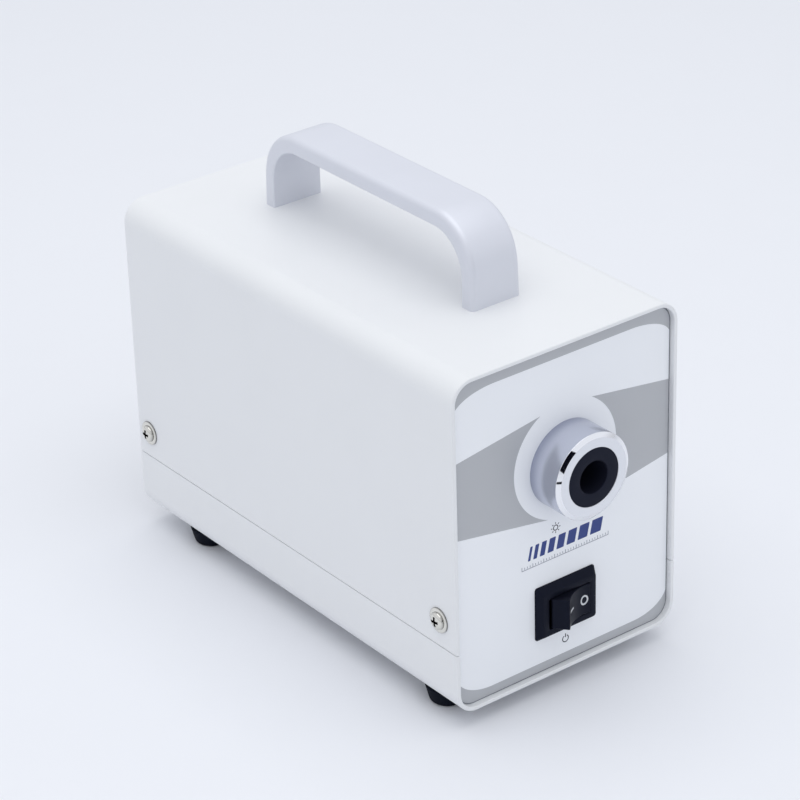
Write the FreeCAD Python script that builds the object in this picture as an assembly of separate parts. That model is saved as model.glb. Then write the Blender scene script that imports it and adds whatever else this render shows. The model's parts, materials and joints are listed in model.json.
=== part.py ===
import FreeCAD, Part
import math
import os

from FreeCAD import Vector

# Fiber optic illuminator: a halogen cold light source in a two-piece sheet-metal case.
#
# Millimetres. +Z is up, the front panel faces -Y and +X is to the right seen from the front.
# The origin lies on the standing surface, midway between the outermost points in X and in Y.

# ---------------------------------------------------------------- driving sizes

# Case: a cover and a tray folded from sheet, with flat panels set back inside both ends.
CASE_WIDTH = 115.8
CASE_DEPTH = 225.0
CASE_HEIGHT = 150.0
CASE_SHEET = 1.8
CASE_BEND = 10.0            # outside radius of the four long bends
SEAM_HEIGHT = 28.8          # from the underside to the joint between tray and cover
SEAM_GAP = 0.25
PANEL_RECESS = 2.5
PANEL_SHEET = 1.5
PANEL_GAP = 0.2             # between a panel's edge and the case around it
PANEL_FLANGE = 12.0
PANEL_FLANGE_WIDTH = 76.0
OVERLAY_SHEET = 0.3
OVERLAY_INSET = 0.05        # from the panel's edge
FLANGE_RELIEF = 4.0
SLOT_WIDTH = 3.0            # air slots in the floor
SLOT_PITCH = 7.0
SLOT_COUNT = 9
SLOT_MARGIN = 3.0
REAR_SLOT_LENGTH = 26.0
REAR_SLOT_START = 8.0       # behind the deck

# Rails welded inside the tray's walls; the cover slips over them and is screwed to them.
RAIL_SHEET = 1.2
RAIL_TOP = 52.0             # above the underside
RAIL_END_GAP = 0.5
RAIL_CORNER = 4.0
SIDE_SCREW_HEIGHT = 41.0    # above the underside
SIDE_SCREW_FRONT = 11.0     # from the front rim
SIDE_SCREW_REAR = 8.5       # from the rear rim
SIDE_SCREW_FLANGE = (5.5, 0.8)  # radius and thickness of the washer formed under the head

# Light port
PORT_X = 1.4
PORT_HEIGHT = 94.8          # above the underside
COLLAR_RADIUS = 18.9
COLLAR_LENGTH = 16.6
COLLAR_CHAMFER = (1.9, 1.1)  # inwards and along the axis
COLLAR_NECK_RADIUS = 15.0
COLLAR_NECK_LENGTH = 12.0   # behind the panel
LOCKNUT_RADIUS = 19.5
LOCKNUT_THICKNESS = 4.0
INSERT_RADIUS = 12.8
INSERT_SET_BACK = 0.1
INSERT_EDGE = 0.3
GUIDE_RADIUS = 7.1          # bore for the light guide's ferrule
GUIDE_STOP_RADIUS = 6.0
GUIDE_STOP_LENGTH = 3.0
NOTCH_WIDTH = 4.0           # spanner notches of the locknut
NOTCH_DEPTH = 2.0
NOTCHES = 6

# Rocker switch
SWITCH_X = 0.0
SWITCH_HEIGHT = 30.1        # above the underside
BEZEL_WIDTH = 31.3
BEZEL_HEIGHT = 24.8
BEZEL_FOOT = 0.4            # upright edge of the bezel, below its leaning sides
BEZEL_RISE = 3.6
BEZEL_LEAN = (1.7, 2.4)     # how far its sides lean inwards, across and upright
BEZEL_CORNER = 1.2
MOUTH_WIDTH = 21.8
MOUTH_HEIGHT = 14.4
MOUTH_CORNER = 0.8
MOUTH_DEPTH = 1.6           # thickness of the bezel around the mouth
WELL_ROOM = 0.5             # the well is this much wider than the mouth on each side
SWITCH_WALL = 1.8
SWITCH_BODY_DEPTH = 22.0
SWITCH_BODY_CORNER = 1.0
WELL_DEPTH = 13.0
ROCKER_PIVOT_DEPTH = 1.5    # behind the overlay
ROCKER_TIP_REACH = 8.3      # pivot to the end of a wing, along the wings' chord
ROCKER_TIP_RISE = 8.6
ROCKER_TIP_EDGE = 0.6
ROCKER_DISH = (7.9, 2.0)    # half the width and the depth of the hollow between the tips
ROCKER_SHOULDER_REACH = 10.9
ROCKER_SHOULDER_RISE = 1.5
ROCKER_SHOULDER_EDGE = 1.0
ROCKER_SIDE_GAP = 0.3
ROCKER_TILT = 19.0
ROCKER_PIN_RADIUS = 1.5
BEARING_SHARE = 0.6         # of the wall's thickness that the pin's bearing reaches into
BLADE_LENGTH = 8.0          # flat connectors of switch and inlet
BLADE_WIDTH = 6.3
BLADE_SHEET = 0.8
SWITCH_BLADE_X = 8.0
SWITCH_BLADE_Z = 5.0

# Carrying handle
HANDLE_WIDTH = 25.0
HANDLE_LENGTH = 140.2
HANDLE_HEIGHT = 37.0
HANDLE_BAR = 7.4
HANDLE_LEG = 6.8
HANDLE_OUTER_BEND = 23.0
HANDLE_INNER_BEND = 17.0
HANDLE_SOFT_EDGE = 4.2
HANDLE_Y = 0.9              # from the middle of the case
HANDLE_HOLE_DEPTH = 14.0

# Rubber feet
FOOT_HEIGHT = 8.0
FOOT_TOP_RADIUS = 9.25
FOOT_BOTTOM_RADIUS = 7.3
FOOT_EDGE = 2.8
FOOT_INSET = 13.7           # foot centre from the side of the case
FOOT_FRONT = 24.2           # from the front rim
FOOT_REAR = 32.4            # from the rear rim
FOOT_POCKET_DEPTH = 3.6

# Fan, its guard and the rear panel
FAN_SIZE = 80.0
FAN_DEPTH = 25.0
FAN_LIFT = 1.15             # centre above the middle of the room between inlet and roof
FAN_HOLE_EDGE = 4.25        # hole centre from the frame's side
FAN_SIDE_WALL = 2.0         # narrowest, between the bore and the frame's side
FAN_FLANGE = 3.5
FAN_CORNER = 5.0
FAN_DUCT_WALL = 1.6
FAN_MOTOR_PLATE = 2.5
FAN_STRUT = 3.0
FAN_HUB_RADIUS = 17.0
FAN_TIP_GAP = 1.2
FAN_BLADES = 7
FAN_BLADE_SHEET = 1.4
FAN_BLADE_ROOT = (14.0, 42.0)   # chord and angle from the fan's plane
FAN_BLADE_TIP = (17.0, 62.0)
FAN_SHAFT_RADIUS = 1.5
FAN_END_GAP = 1.0           # rotor to motor plate
FAN_HUB_SET_BACK = 1.5
GUARD_WIRE_RADIUS = 0.9
GUARD_RING_STEP = 7.0
GUARD_RINGS = 5
GUARD_WELD = 0.4            # how far ring and spoke melt into each other, in wire radii

# Mains inlet with its fuse drawer
INLET_X = -20.0
INLET_HEIGHT = 30.0         # centre above the underside
INLET_WIDTH = 50.0
INLET_FLANGE_HEIGHT = 31.0
INLET_FLANGE = 3.0
INLET_BODY_WIDTH = 28.0
INLET_BODY_HEIGHT = 28.0
INLET_BODY_DEPTH = 27.0
INLET_SCREW_PITCH = 40.0
INLET_FLANGE_CORNER = 6.0
INLET_BODY_CORNER = 2.0
SOCKET_WIDTH = 24.2
SOCKET_HEIGHT = 16.0
SOCKET_DEPTH = 17.0
SOCKET_UP = 4.2             # socket centre above the inlet's centre
PIN_PITCH = 7.0             # live and neutral, each side of earth
PIN_LENGTH = 11.5
PIN_SECTION = (2.0, 4.0, 0.4)   # width, height and corner
EARTH_UP = 2.0              # earth blade above the socket's middle, the others as far below it
SOCKET_CUT_OFF = 4.0        # the two slanted upper corners
DRAWER_WIDTH = 24.0
DRAWER_HEIGHT = 7.0
DRAWER_DEPTH = 20.0
DRAWER_DOWN = 10.0          # drawer centre below the inlet's centre
DRAWER_LIP = 1.5
DRAWER_LIP_OVERHANG = 0.5
FUSE_RADIUS = 2.5
FUSE_LENGTH = 20.0
FUSE_CAP = 5.0
FUSE_INSET = 5.0            # fuse centre from the drawer's inner end

# Intensity control
KNOB_X = 33.0
KNOB_HEIGHT = 30.0
KNOB_RADIUS = 11.0
KNOB_LENGTH = 15.1
KNOB_GAP = 1.5
KNOB_FLUTES = 12
FLUTE_RADIUS = 1.3
KNOB_SKIRT = 3.0
KNOB_STEP = 1.2             # skirt to grip
KNOB_CAP = 2.5
KNOB_REST_TURN = 150.0      # pointer at its lowest setting, from straight up
CONTROL_BODY_RADIUS = 12.0
CONTROL_BODY_DEPTH = 11.0
CONTROL_BUSH_RADIUS = 4.5
CONTROL_BUSH_LENGTH = 6.0
CONTROL_SHAFT_RADIUS = 3.0
CONTROL_NUT = 2.0
CONTROL_BACK = 2.0
CONTROL_TAG = (2.4, 0.8, 6.0)   # width, sheet and reach
CONTROL_TAG_PITCH = 5.0

# Equipment deck: a bridge over the transformer that carries the lamp and the control board.
DECK_SHEET = 1.5
DECK_LENGTH = 98.0
DECK_TAB = 12.0
DECK_HEADROOM = 2.0
DECK_WINDOW_HEAD = 12.0     # sheet left above the side windows
DECK_WINDOW_JAMB = 14.0     # and at each end of them
DECK_WINDOW_CORNER = 8.0

# Toroidal transformer
TRANSFORMER_Y = -21.0       # from the middle of the case
TRANSFORMER_RADIUS = 43.0
TRANSFORMER_HEIGHT = 38.0
TRANSFORMER_EYE = 14.0
TRANSFORMER_CORNER = 9.0
PAD_THICKNESS = 1.5
DISH_RADIUS = 30.0
DISH_SHEET = 2.0
DISH_DIP = 1.2
DISH_SHOULDER = 4.0

# Lamp, reflector and heat filter
FOCAL_DISTANCE = 36.0       # light guide end to the reflector's rim
REFLECTOR_RADIUS = 25.4
REFLECTOR_RIM = 2.0
REFLECTOR_RIM_WIDTH = 3.4
REFLECTOR_WALL = 1.6
REFLECTOR_DEPTH = 22.0
REFLECTOR_LENGTH = 37.0
NECK_RADIUS = 7.6
NECK_BORE = 5.5
CAPSULE_RADIUS = 4.4
CAPSULE_TIP = 9.0           # capsule tip behind the rim
LAMP_PIN_PITCH = 5.3
LAMP_PIN_RADIUS = 0.5
LAMP_PIN_LENGTH = 7.5
SOCKET_BLOCK_WIDTH = 24.0
SOCKET_BLOCK_HEIGHT = 14.0
SOCKET_BLOCK_DEPTH = 11.0
BRACKET_SHEET = 1.5
BRACKET_WIDTH = 68.0
BRACKET_HOLE_RADIUS = 23.3
BRACKET_FLANGE = 14.0
BRACKET_CORNER = 12.0
BRACKET_FOLD = 3.0          # height at which the upright runs into its fold
CLIP_COUNT = 3
CLIP_WIDTH = 7.0
CLIP_SHEET = 1.0
CLIP_GAP = 0.8              # beside the reflector's rim
CLIP_REACH = 1.6            # over it
POST_OFFSET = 30.6          # lamp axis to the posts and the clip screws
POST_RADIUS = 3.0
POST_LENGTH = 14.0
FILTER_RADIUS = 16.0
FILTER_THICKNESS = 3.0
FILTER_RING_RADIUS = 20.0
FILTER_RING_LIP = 1.6
FILTER_LEDGE = 2.0

# Control board
BOARD_SHEET = 1.6
BOARD_WIDTH = 86.0
BOARD_DEPTH = 33.0
BOARD_INSET = 4.0           # holes from the board's edges
BOARD_MARGIN = 2.0          # board to the deck's rear edge
STANDOFF_HEIGHT = 6.0
STANDOFF_RADIUS = 3.0
SINK_INSET = 9.0            # from the board's left edge
SINK_FINS = 7
SINK_FIN = 1.2
SINK_BASE = 3.0
SINK_WIDTH = 32.0
SINK_DEPTH = 23.0
SINK_HEIGHT = 22.0
CHOKE_RADIUS = 10.0
CHOKE_EYE = 4.0
CHOKE_HEIGHT = 9.0
PARTS_GAP = 1.5             # between neighbours on the board
TERMINAL_WAYS = 3
TERMINAL_PITCH = 5.08
TERMINAL_DEPTH = 9.0
TERMINAL_HEIGHT = 10.0
TERMINAL_SCREW_RADIUS = 1.7
CAPACITOR_SIZE = (13.0, 8.0, 15.0)
TRIAC_SIZE = (10.0, 4.4, 10.0)
TRIAC_TAB = (1.3, 6.0)      # sheet and height
TRIAC_LEG = (0.8, 2.54, 4.0)    # side, pitch and length

# Fasteners: thread radius, pan head radius and pan head height
M3 = (1.5, 2.9, 2.0)
M4 = (2.0, 4.5, 2.6)
M4_FLANGED = (2.0, 3.9, 2.6)
M6 = (3.0, 5.4, 3.6)
M3_NUT = 2.4
M4_NUT = 3.0
M6_NUT = 5.0
NUT_WALL = 0.8              # corner reach of a nut: this much, and NUT_SHARE thread radii
NUT_SHARE = 1.5
CLINCH_NUT = 2.6
SCREW_TAIL = 2.0            # shank left beyond the last sheet
HOLE_GAP = 0.25             # clearance round a screw's shank
FIT_GAP = 0.05              # clearance round a turned piece or a running shaft

# ---------------------------------------------------------------- places that follow from them

Z_UNDERSIDE = FOOT_HEIGHT
Z_FLOOR = Z_UNDERSIDE + CASE_SHEET
Z_TOP = Z_UNDERSIDE + CASE_HEIGHT
Z_ROOF = Z_TOP - CASE_SHEET
Z_SEAM = Z_UNDERSIDE + SEAM_HEIGHT
Z_PORT = Z_UNDERSIDE + PORT_HEIGHT
Z_SWITCH = Z_UNDERSIDE + SWITCH_HEIGHT
Z_INLET = Z_UNDERSIDE + INLET_HEIGHT
FAN_HEIGHT = (Z_ROOF + Z_INLET + INLET_FLANGE_HEIGHT / 2) / 2 + FAN_LIFT - Z_UNDERSIDE
Z_FAN = Z_UNDERSIDE + FAN_HEIGHT
Z_KNOB = Z_UNDERSIDE + KNOB_HEIGHT
Z_RAIL_TOP = Z_UNDERSIDE + RAIL_TOP
Z_SIDE_SCREW = Z_UNDERSIDE + SIDE_SCREW_HEIGHT

X_SIDE = CASE_WIDTH / 2
X_INSIDE = X_SIDE - CASE_SHEET
X_RAIL = X_INSIDE - RAIL_SHEET

FRONT_REACH = COLLAR_LENGTH - PANEL_RECESS
REAR_REACH = KNOB_GAP + KNOB_LENGTH - PANEL_RECESS
Y_FRONT_RIM = (FRONT_REACH - REAR_REACH - CASE_DEPTH) / 2
Y_REAR_RIM = Y_FRONT_RIM + CASE_DEPTH
Y_MIDDLE = (Y_FRONT_RIM + Y_REAR_RIM) / 2
Y_FACE = Y_FRONT_RIM + PANEL_RECESS
Y_FRONT_PANEL = Y_FACE + OVERLAY_SHEET
Y_BEHIND_FRONT = Y_FRONT_PANEL + PANEL_SHEET
Y_REAR_PANEL = Y_REAR_RIM - PANEL_RECESS
Y_BEFORE_REAR = Y_REAR_PANEL - PANEL_SHEET

Y_COLLAR_FRONT = Y_FACE - COLLAR_LENGTH
Y_NECK_END = Y_BEHIND_FRONT + COLLAR_NECK_LENGTH
Y_GUIDE_END = Y_NECK_END - GUIDE_STOP_LENGTH
Y_RIM = Y_GUIDE_END + FOCAL_DISTANCE
Y_NECK = Y_RIM + REFLECTOR_LENGTH
Y_FILTER_BACK = Y_RIM - BRACKET_SHEET - POST_LENGTH
Y_FILTER_FRONT = Y_FILTER_BACK - FILTER_THICKNESS - FILTER_RING_LIP
Y_PIVOT = Y_FACE + ROCKER_PIVOT_DEPTH

FAN_HOLE_PITCH = FAN_SIZE - 2 * FAN_HOLE_EDGE
FAN_BORE_RADIUS = FAN_SIZE / 2 - FAN_SIDE_WALL
Y_FAN = Y_BEFORE_REAR - FAN_DEPTH
Y_MOTOR_PLATE = Y_BEFORE_REAR - FAN_MOTOR_PLATE
Y_INLET = Y_REAR_PANEL + INLET_FLANGE
Y_FUSE = Y_INLET - DRAWER_DEPTH + FUSE_INSET
Z_DRAWER = Z_INLET - DRAWER_DOWN
Y_CONTROL = Y_BEFORE_REAR - CONTROL_BODY_DEPTH
Y_BUSH_END = Y_BEFORE_REAR + CONTROL_BUSH_LENGTH
Y_KNOB = Y_REAR_PANEL + KNOB_GAP
Y_KNOB_END = Y_KNOB + KNOB_LENGTH

Y_TRANSFORMER = Y_MIDDLE + TRANSFORMER_Y
Z_TRANSFORMER = Z_FLOOR + PAD_THICKNESS
Z_DISH = Z_TRANSFORMER + TRANSFORMER_HEIGHT + PAD_THICKNESS
Z_DECK_UNDER = Z_DISH + DISH_SHEET + M6_NUT + DECK_HEADROOM
Z_DECK = Z_DECK_UNDER + DECK_SHEET
DECK_WIDTH = CASE_WIDTH - 2 * CASE_BEND     # the flat part of the floor
Y_DECK_FRONT = Y_TRANSFORMER - DECK_LENGTH / 2
Y_DECK_REAR = Y_TRANSFORMER + DECK_LENGTH / 2

Y_BOARD_REAR = Y_DECK_REAR - BOARD_MARGIN
Y_BOARD_FRONT = Y_BOARD_REAR - BOARD_DEPTH
Z_BOARD = Z_DECK + STANDOFF_HEIGHT
Z_BOARD_TOP = Z_BOARD + BOARD_SHEET
Y_BOARD = (Y_BOARD_FRONT + Y_BOARD_REAR) / 2
X_SINK = SINK_INSET - BOARD_WIDTH / 2
Y_SINK = Y_BOARD - SINK_DEPTH / 2
X_CHOKE = X_SINK + SINK_WIDTH + PARTS_GAP + CHOKE_RADIUS
X_TERMINALS = X_CHOKE + CHOKE_RADIUS + PARTS_GAP + TERMINAL_WAYS * TERMINAL_PITCH / 2
Y_TERMINALS = Y_BOARD + PARTS_GAP

X_AXIS = Vector(1, 0, 0)
Y_AXIS = Vector(0, 1, 0)
Z_AXIS = Vector(0, 0, 1)
ORIGIN = Vector(0, 0, 0)
ALMOST_HALF = 0.49          # corner radius of a slot with round ends, as a share of its width
THROUGH = 1.0               # how far a cutting tool runs past each face


# ---------------------------------------------------------------- shape helpers

def in_xy(u, v):
    return Vector(u, v, 0)


def in_xz(u, v):
    return Vector(u, 0, v)


def in_yz(u, v):
    return Vector(0, u, v)


def profile(corners, plane):
    """Flat face through (u, v) corners; a third value rounds that corner to a radius."""
    spots = [plane(corner[0], corner[1]) for corner in corners]
    ends = []
    for i, corner in enumerate(corners):
        here = spots[i]
        if len(corner) < 3:
            ends.append((here, None, here))
            continue
        radius = corner[2]
        before = (spots[i - 1] - here).normalize()
        after = (spots[(i + 1) % len(spots)] - here).normalize()
        half = before.getAngle(after) / 2
        reach = radius / math.tan(half)
        inward = (before + after).normalize()
        middle = here + inward * (radius / math.sin(half) - radius)
        ends.append((here + before * reach, middle, here + after * reach))
    edges = []
    for i, (start, middle, end) in enumerate(ends):
        if middle is not None:
            edges.append(Part.Arc(start, middle, end).toShape())
        onward = ends[(i + 1) % len(ends)][0]
        if (onward - end).Length > 1e-6:
            edges.append(Part.makeLine(end, onward))
    return Part.Face(Part.Wire(edges))


def along_x(corners, x_start, x_end):
    """Prism along X over a (y, z) outline."""
    prism = profile(corners, in_yz).extrude(X_AXIS * (x_end - x_start))
    return prism.translated(X_AXIS * x_start)


def along_y(corners, y_start, y_end):
    """Prism along Y over an (x, z) outline."""
    prism = profile(corners, in_xz).extrude(Y_AXIS * (y_end - y_start))
    return prism.translated(Y_AXIS * y_start)


def along_z(corners, z_start, z_end):
    """Prism along Z over an (x, y) outline."""
    prism = profile(corners, in_xy).extrude(Z_AXIS * (z_end - z_start))
    return prism.translated(Z_AXIS * z_start)


def rectangle(u_middle, v_middle, width, height, radius):
    """Corners of a rectangle with four equal round corners."""
    u_low, u_high = u_middle - width / 2, u_middle + width / 2
    v_low, v_high = v_middle - height / 2, v_middle + height / 2
    places = ((u_low, v_low), (u_high, v_low), (u_high, v_high), (u_low, v_high))
    return [(u, v, radius) for u, v in places]


def box(x_low, x_high, y_low, y_high, z_low, z_high):
    return Part.makeBox(x_high - x_low, y_high - y_low, z_high - z_low, Vector(x_low, y_low, z_low))


def rod(start, direction, radius, length):
    return Part.makeCylinder(radius, length, Vector(*start), direction)


def turned_y(corners, x, z):
    """Solid turned about a line along Y, from a (radius, y) outline."""
    return profile(corners, in_xy).revolve(ORIGIN, Y_AXIS, 360).translated(Vector(x, 0, z))


def turned_z(corners, x, y):
    """Solid turned about a line along Z, from a (radius, z) outline."""
    return profile(corners, in_xz).revolve(ORIGIN, Z_AXIS, 360).translated(Vector(x, y, 0))


def aimed(solid, place, direction):
    """Turns a solid made along +Z to point along a direction, and moves its origin to a place."""
    placed = solid.copy()
    placed.Placement = FreeCAD.Placement(Vector(*place), FreeCAD.Rotation(Z_AXIS, direction))
    return placed


def pan_screw(size, place, direction, length):
    """Pan-head screw seated at a place, with its head along the direction and its shank against it."""
    shank, head, rise = size
    corners = [(0, rise), (head, rise, rise * 0.7), (head, 0), (shank, 0), (shank, -length), (0, -length)]
    return aimed(turned_z(corners, 0, 0), place, direction)


def flanged_screw(size, flange, place, direction, length):
    """Pan-head screw with a washer formed in one piece under its head."""
    washer = sleeve((0, 0, 0), Z_AXIS, flange[0], size[0], flange[1])
    screw = pan_screw(size, (0, 0, 0), Z_AXIS, length).fuse(washer).removeSplitter()
    return aimed(screw, place, direction)


def nut_reach(thread):
    """Middle of a nut to its corners, for a thread radius."""
    return NUT_WALL + NUT_SHARE * thread


def hex_nut(thread, place, direction, height):
    """Hexagon nut that stands on a place and rises along the direction."""
    reach = nut_reach(thread)
    corners = [(reach * math.cos(math.radians(60 * i)), reach * math.sin(math.radians(60 * i)))
               for i in range(6)]
    nut = along_z(corners, 0, height).cut(rod((0, 0, 0), Z_AXIS, thread, height))
    return aimed(nut, place, direction)


def sleeve(place, direction, outer, inner, length):
    """Plain tube."""
    return rod(place, direction, outer, length).cut(rod(place, direction, inner, length))


def both_sides(x):
    return (-x, x)


def cut_all(solid, tools):
    return solid.cut(Part.makeCompound(list(tools)))


def group(solids):
    return Part.makeCompound(list(solids))


# ---------------------------------------------------------------- places of the fasteners

def side_screw_places():
    """Side screws: (side, y) with side -1 at the left and +1 at the right."""
    rows = (Y_FRONT_RIM + SIDE_SCREW_FRONT, Y_REAR_RIM - SIDE_SCREW_REAR)
    return [(side, y) for side in (-1, 1) for y in rows]


def foot_places():
    x = X_SIDE - FOOT_INSET
    y_front, y_rear = Y_FRONT_RIM + FOOT_FRONT, Y_REAR_RIM - FOOT_REAR
    return {
        "foot_front_left": (-x, y_front),
        "foot_front_right": (x, y_front),
        "foot_rear_left": (-x, y_rear),
        "foot_rear_right": (x, y_rear),
    }


def panel_screw_places():
    """Screws under the tray that hold the flanges of the front and rear panels."""
    x = PANEL_FLANGE_WIDTH / 2 - 2 * M3[1]
    rows = (Y_BEHIND_FRONT + PANEL_FLANGE / 2, Y_BEFORE_REAR - PANEL_FLANGE / 2)
    return [(side, y) for side in both_sides(x) for y in rows]


def deck_screw_places():
    x = DECK_WIDTH / 2 - DECK_SHEET - DECK_TAB / 2
    rows = (Y_DECK_FRONT + DECK_TAB / 2, Y_DECK_REAR - DECK_TAB / 2)
    return [(side, y) for side in both_sides(x) for y in rows]


def handle_screw_places():
    middle = Y_MIDDLE + HANDLE_Y
    reach = (HANDLE_LENGTH - HANDLE_LEG) / 2
    return [middle - reach, middle + reach]


def fan_screw_places():
    half = FAN_HOLE_PITCH / 2
    return [(x, Z_FAN + z) for x in both_sides(half) for z in both_sides(half)]


def board_hole_places():
    x = BOARD_WIDTH / 2 - BOARD_INSET
    return [(side, y) for side in both_sides(x)
            for y in (Y_BOARD_FRONT + BOARD_INSET, Y_BOARD_REAR - BOARD_INSET)]


def bracket_flange_places():
    x = BRACKET_WIDTH / 2 - 3 * M3[1]
    return [(PORT_X + side, Y_RIM + BRACKET_FLANGE / 2) for side in both_sides(x)]


def clip_angles():
    return [90 + i * 360 / CLIP_COUNT for i in range(CLIP_COUNT)]


# ---------------------------------------------------------------- case

def case_section(inset):
    """Outline of the case in X and Z, drawn in by an inset."""
    middle = Z_UNDERSIDE + CASE_HEIGHT / 2
    width = CASE_WIDTH - 2 * inset
    height = CASE_HEIGHT - 2 * inset
    return rectangle(0, middle, width, height, CASE_BEND - inset)


def case_ring():
    """The whole folded wall of the case, before it is parted at the seam."""
    outside = along_y(case_section(0), Y_FRONT_RIM, Y_REAR_RIM)
    inside = along_y(case_section(CASE_SHEET), Y_FRONT_RIM - THROUGH, Y_REAR_RIM + THROUGH)
    return outside.cut(inside)


def case_half(z_low, z_high):
    return case_ring().common(box(-X_SIDE, X_SIDE, Y_FRONT_RIM, Y_REAR_RIM, z_low, z_high))


def top_cover():
    """Roof and both walls down to the seam, folded from one sheet."""
    hole = M4[0] + HOLE_GAP
    depth = CASE_SHEET + 2 * THROUGH
    holes = [rod((side * (X_INSIDE - THROUGH), y, Z_SIDE_SCREW), X_AXIS * side, hole, depth)
             for side, y in side_screw_places()]
    holes += [rod((0, y, Z_ROOF - THROUGH), Z_AXIS, hole, depth) for y in handle_screw_places()]
    return cut_all(case_half(Z_SEAM + SEAM_GAP / 2, Z_TOP), holes)


def intake_slots():
    """Air slots in the tray's floor, between the front feet and again behind the deck."""
    front_run = (Y_BEHIND_FRONT + PANEL_FLANGE + SLOT_MARGIN, Y_DECK_FRONT - SLOT_MARGIN / 2)
    y_rear_run = Y_DECK_REAR + REAR_SLOT_START
    slots = []
    for y_start, y_end in (front_run, (y_rear_run, y_rear_run + REAR_SLOT_LENGTH)):
        middle, length = (y_start + y_end) / 2, y_end - y_start
        for i in range(SLOT_COUNT):
            x = (i - (SLOT_COUNT - 1) / 2) * SLOT_PITCH
            outline = rectangle(x, middle, SLOT_WIDTH, length, SLOT_WIDTH * ALMOST_HALF)
            slots.append(along_z(outline, Z_UNDERSIDE - THROUGH, Z_FLOOR + THROUGH))
    return slots


def bottom_tray():
    """Floor and low walls up to the seam, with the holes for feet, flanges, deck and transformer."""
    def floor_hole(place, size):
        depth = CASE_SHEET + 2 * THROUGH
        return rod((place[0], place[1], Z_UNDERSIDE - THROUGH), Z_AXIS, size[0] + HOLE_GAP, depth)

    m3_places = panel_screw_places() + deck_screw_places() + list(foot_places().values())
    holes = [floor_hole(place, M3) for place in m3_places]
    holes.append(floor_hole((0, Y_TRANSFORMER), M6))
    return cut_all(case_half(Z_UNDERSIDE, Z_SEAM - SEAM_GAP / 2), holes + intake_slots())


def side_rail(side):
    """Flat strip inside the tray's wall that stands up behind the cover."""
    z_low = Z_UNDERSIDE + CASE_BEND + 1
    y_middle = (Y_BEHIND_FRONT + Y_BEFORE_REAR) / 2
    length = Y_BEFORE_REAR - Y_BEHIND_FRONT - 2 * RAIL_END_GAP
    outline = rectangle(y_middle, (z_low + Z_RAIL_TOP) / 2, length, Z_RAIL_TOP - z_low, RAIL_CORNER)
    strip = along_x(outline, side * X_RAIL, side * X_INSIDE)
    holes = [rod((side * (X_RAIL - THROUGH), y, Z_SIDE_SCREW), X_AXIS * side, M4[0], RAIL_SHEET + 2 * THROUGH)
             for screw_side, y in side_screw_places() if screw_side == side]
    return cut_all(strip, holes)


def side_screws():
    length = CASE_SHEET + RAIL_SHEET + CLINCH_NUT
    screw = flanged_screw(M4_FLANGED, SIDE_SCREW_FLANGE, (0, 0, 0), Z_AXIS, length)
    return group(aimed(screw, (side * X_SIDE, y, Z_SIDE_SCREW), X_AXIS * side)
                 for side, y in side_screw_places())


def clinch_nuts():
    return group(sleeve((side * X_RAIL, y, Z_SIDE_SCREW), X_AXIS * -side, M4[0] * 2, M4[0], CLINCH_NUT)
                 for side, y in side_screw_places())


def bent_panel(y_outer, y_inner):
    """End panel with a flange along its foot that turns into the case and lies on the floor."""
    into = 1 if y_inner > y_outer else -1
    sheet = abs(y_inner - y_outer)
    relief = FLANGE_RELIEF
    low, high = Z_FLOOR, Z_ROOF - PANEL_GAP
    width = 2 * (X_INSIDE - PANEL_GAP)
    corner = CASE_BEND - CASE_SHEET
    plate = along_y(rectangle(0, (low + high) / 2, width, high - low, corner), y_outer, y_inner)
    half_flange = PANEL_FLANGE_WIDTH / 2
    plate = plate.cut(box(-half_flange, half_flange, min(y_outer, y_inner), max(y_outer, y_inner),
                          low - THROUGH, low + relief))
    tip = y_inner + into * PANEL_FLANGE
    fold = [(y_outer, low + relief), (y_outer, low, 2 * sheet), (tip, low), (tip, low + sheet),
            (y_inner, low + sheet, sheet), (y_inner, low + relief)]
    holes = [rod((x, y, low - THROUGH), Z_AXIS, M3[0], sheet + 2 * THROUGH) for x, y in panel_screw_places()
             if min(y_outer, tip) < y < max(y_outer, tip)]
    return cut_all(plate.fuse(along_x(fold, -half_flange, half_flange)).removeSplitter(), holes)


def switch_body_section(grow):
    """Outline of the switch body in X and Z."""
    width = MOUTH_WIDTH + 2 * (WELL_ROOM + SWITCH_WALL + grow)
    height = MOUTH_HEIGHT + 2 * (SWITCH_WALL + grow)
    return rectangle(SWITCH_X, Z_SWITCH, width, height, SWITCH_BODY_CORNER)


def front_panel():
    y_start, y_end = Y_FRONT_PANEL - THROUGH, Y_BEHIND_FRONT + THROUGH
    port_hole = rod((PORT_X, y_start, Z_PORT), Y_AXIS, COLLAR_NECK_RADIUS + HOLE_GAP, y_end - y_start)
    switch_hole = along_y(switch_body_section(HOLE_GAP), y_start, y_end)
    return cut_all(bent_panel(Y_FRONT_PANEL, Y_BEHIND_FRONT), [port_hole, switch_hole])


def front_overlay():
    """Printed film that covers the whole front of the panel."""
    edge = PANEL_GAP + OVERLAY_INSET
    low, high = Z_FLOOR + edge, Z_ROOF - edge
    width = 2 * (X_INSIDE - edge)
    corner = CASE_BEND - CASE_SHEET - edge
    film = along_y(rectangle(0, (low + high) / 2, width, high - low, corner), Y_FACE, Y_FRONT_PANEL)
    film_gap = 2 * HOLE_GAP
    y_start, y_end = Y_FACE - THROUGH, Y_FRONT_PANEL + THROUGH
    port_hole = rod((PORT_X, y_start, Z_PORT), Y_AXIS, COLLAR_NECK_RADIUS + film_gap, y_end - y_start)
    switch_hole = along_y(switch_body_section(film_gap), y_start, y_end)
    return cut_all(film, [port_hole, switch_hole])


def tray_screws():
    """Screws up through the tray into the panels' flanges and the deck's feet."""
    return group(pan_screw(M3, (x, y, Z_UNDERSIDE), -Z_AXIS, CASE_SHEET + PANEL_SHEET + SCREW_TAIL)
                 for x, y in panel_screw_places() + deck_screw_places())


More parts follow.
